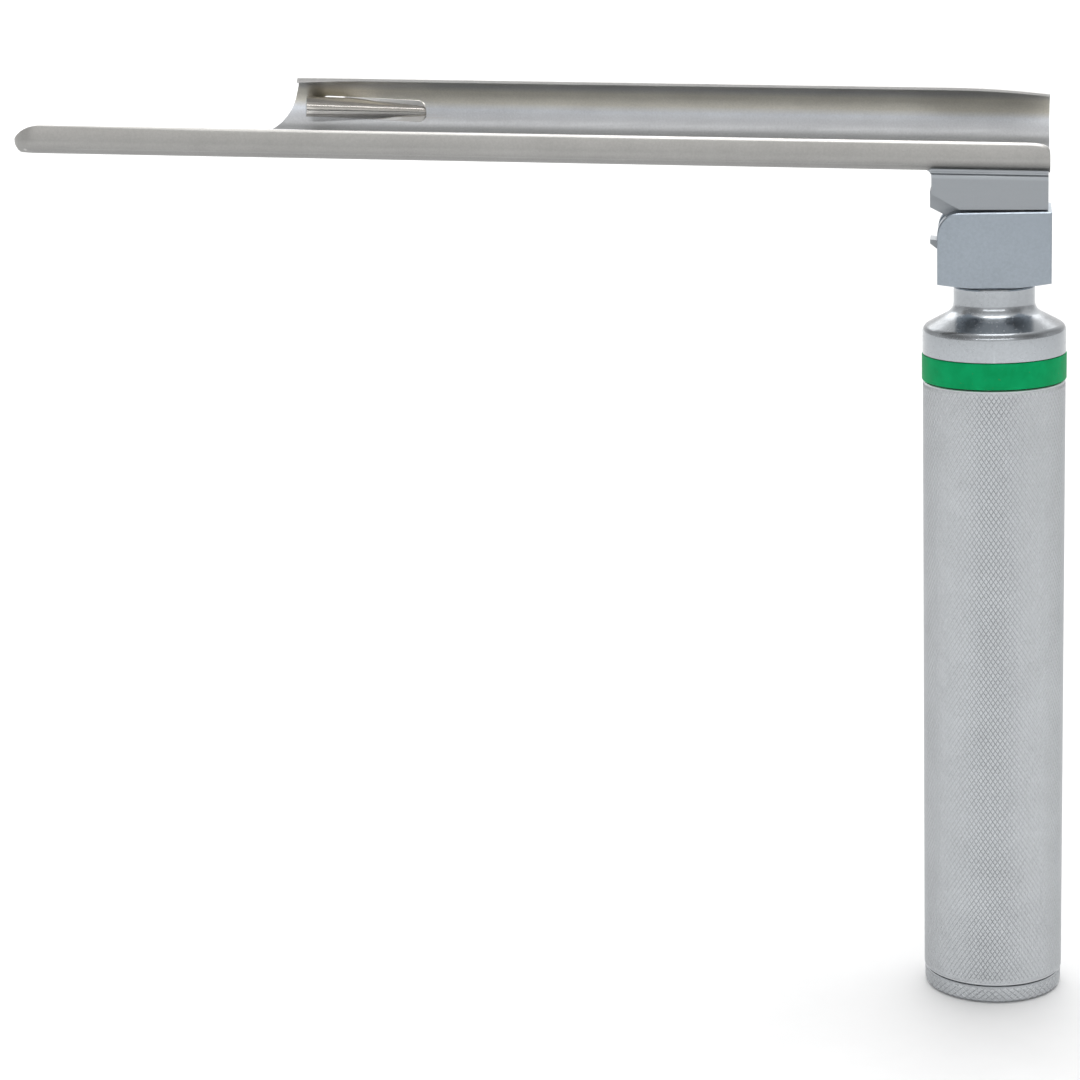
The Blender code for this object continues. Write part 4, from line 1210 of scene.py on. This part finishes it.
def tube_axis(x):
    """Y and Z of the guide tube's axis where it crosses the web."""
    path = guide_path()
    for first, second in zip(path, path[1:]):
        if second.x <= x <= first.x and first.x < -90.0 * MM:
            part = (first.x - x) / (first.x - second.x)
            crossing = first.lerp(second, part)
            return crossing.y, crossing.z
    return path[-1].y, path[-1].z


def solder_fillets():
    """Polished solder that fills the slot from its rim to the sides of the guide tube; its near-white colour
    is partly painted highlight.
    """
    start = SLOT_RIGHT - 0.15 * MM
    end = SLOT_LEFT + 5.5 * MM
    steps = 40
    for name, side in (("solder_above", 1.0), ("solder_below", -1.0)):
        sections = []
        for step in range(steps + 1):
            part = step / steps
            x = start + (end - start) * part
            axis_y, axis_z = tube_axis(x)
            height = SLOT_HALF_HEIGHT - 0.05 * MM
            corner = max(0.0, 1.0 - (start - x) / (1.5 * MM))
            height -= 1.5 * MM * (1.0 - math.sqrt(max(0.0, 1.0 - corner**2)))
            rim_z = guide_height(x) + 0.1 * MM * (1.0 - part) + side * height
            above = rim_z - underside(x)
            rim_y = math.sqrt(max((WEB_RADIUS - SHEET) ** 2 - (above - WEB_RADIUS) ** 2, 0.0)) + 0.12 * MM
            crest = min((0.85 + 1.2 * part**0.8) * MM, GUIDE_RADIUS - 0.02 * MM)
            touch_y = axis_y - math.sqrt(GUIDE_RADIUS**2 - crest**2)
            touch_z = axis_z + side * crest
            rim = Vector((x, rim_y, rim_z))
            touch = Vector((x, max(touch_y, rim_y), touch_z))
            deep = Vector((0.0, 0.45 * MM, 0.0))
            sag = Vector((0.0, 0.18 * MM, side * 0.12 * MM)) * (1.0 - part)
            middle = 0.5 * (rim + touch) + sag
            sections.append([rim, middle, touch, touch + deep, middle + deep, rim + deep])
        place(name, loft(sections), SOLDER, "blade", slot="bright_steel", smooth=75.0)


# ---------------------------------------------------------------- carried-over nodes


def carried_over():
    """Inner nodes keep their CAD shape and take a finish of their own."""
    finishes = {
        "battery_lower": JACKET,
        "battery_upper": JACKET,
        "contact_post": BRASS,
        "contact_insulator": PLASTIC,
        "lamp_spring": SPRING,
        "lamp_holder": BRASS,
        "lamp_bulb": GLASS,
        "lamp_lens": GLASS,
        "contact_rod": BRASS,
        "cap_seal": RUBBER,
        "battery_spring": SPRING,
        "detent_spring": SPRING,
    }
    for name, finish in finishes.items():
        node = frame["nodes"][name]
        for slot in node.material_slots:
            slot.link = "OBJECT"
            slot.material = finish


# ---------------------------------------------------------------- studio


def floor():
    mesh = bpy.data.meshes.new("floor")
    size = 8.0
    corners = [(-size, -size, 0.0), (size, -size, 0.0), (size, size, 0.0), (-size, size, 0.0)]
    mesh.from_pydata(corners, [], [(0, 1, 2, 3)])
    look = plain_mix("pale_floor", (0.86, 0.86, 0.86), (0.88, 0.88, 0.88), 0.7, 40.0)
    mesh.materials.append(look.material)
    plane = bpy.data.objects.new("floor", mesh)
    plane.location.z = cad_box[0][2]
    show(plane)


def world():
    """Soft surroundings: bright behind and overhead, greyer in front and to both sides."""
    sky = bpy.data.worlds.new("studio")
    bpy.context.scene.world = sky
    sky.use_nodes = True
    tree = sky.node_tree
    parts = tree.nodes.new("ShaderNodeSeparateXYZ")
    tree.links.new(tree.nodes.new("ShaderNodeTexCoord").outputs["Generated"], parts.inputs["Vector"])

    def eased(value, start, end, low, high):
        span = tree.nodes.new("ShaderNodeMapRange")
        span.interpolation_type = "SMOOTHSTEP"
        for name, number in (("From Min", start), ("From Max", end), ("To Min", low), ("To Max", high)):
            span.inputs[name].default_value = number
        tree.links.new(value, span.inputs["Value"])
        return span.outputs["Result"]

    def combined(operation, *values):
        maths = tree.nodes.new("ShaderNodeMath")
        maths.operation = operation
        for value, socket in zip(values, maths.inputs):
            tree.links.new(value, socket)
        return maths.outputs["Value"]

    height = parts.outputs["Z"]
    falling = eased(height, 0.14, 0.45, 0.62, 0.50)
    front = combined("ADD", falling, eased(height, 0.60, 0.90, 0.0, 0.35))
    back = eased(height, 0.12, 0.40, 1.05, 1.35)
    backness = eased(parts.outputs["Y"], -0.25, 0.25, 0.0, 1.0)
    frontness = eased(parts.outputs["Y"], -0.25, 0.25, 1.0, 0.0)
    both = combined("ADD", combined("MULTIPLY", front, frontness), combined("MULTIPLY", back, backness))
    sides = combined("ABSOLUTE", parts.outputs["X"])
    strength = combined("MULTIPLY", both, eased(sides, 0.40, 0.80, 1.0, 0.55))
    background = tree.nodes["Background"]
    background.inputs["Color"].default_value = (1.0, 1.0, 1.0, 1.0)
    tree.links.new(strength, background.inputs["Strength"])


def softbox(name, place_at, target, width, height, power):
    light = bpy.data.lights.new(name, "AREA")
    light.shape = "RECTANGLE"
    light.size = width
    light.size_y = height
    light.energy = power
    lamp = bpy.data.objects.new(name, light)
    lamp.location = place_at
    aim = Vector(target) - Vector(place_at)
    lamp.rotation_euler = aim.to_track_quat("-Z", "Y").to_euler()
    show(lamp)


def studio():
    world()
    floor()
    centre = (-0.06, 0.0, 0.12)
    softbox("overhead", (0.05, 0.02, 1.6), (0.05, 0.02, 0.0), 0.8, 0.75, 7.0)
    softbox("backlight", (-0.6, 3.2, 1.7), (-0.6, 3.2, 0.0), 3.6, 2.6, 48.0)
    softbox("front", (0.0, -1.5, 0.78), centre, 1.8, 0.14, 2.8)
    bpy.context.scene.view_settings.view_transform = "Standard"


def camera():
    """Looks into the trough from slightly above, with the handle right of centre."""
    forward = Vector((-0.15313, 0.96125, -0.22957)).normalized()
    right = Vector((0.98829, 0.14954, -0.03307))
    right = (right - forward * right.dot(forward)).normalized()
    up = right.cross(forward)
    lens = bpy.data.cameras.new("camera")
    lens.sensor_width = 36.0
    lens.lens = 97.58
    lens.clip_start = 0.01
    eye = bpy.data.objects.new("camera", lens)
    turn = Matrix((right, up, -forward)).transposed().to_4x4()
    eye.matrix_world = Matrix.Translation((0.0, -0.57911, 0.231946)) @ turn
    show(eye)
    bpy.context.scene.camera = eye


camera()
grip_tube()
green_ring()
neck_collar()
head_fork()
hinge_pin()
screw_cap()
blade_spatula()
blade_flange()
heel()
ferrule()
detent_balls()
light_guide()
solder_fillets()
carried_over()
studio()
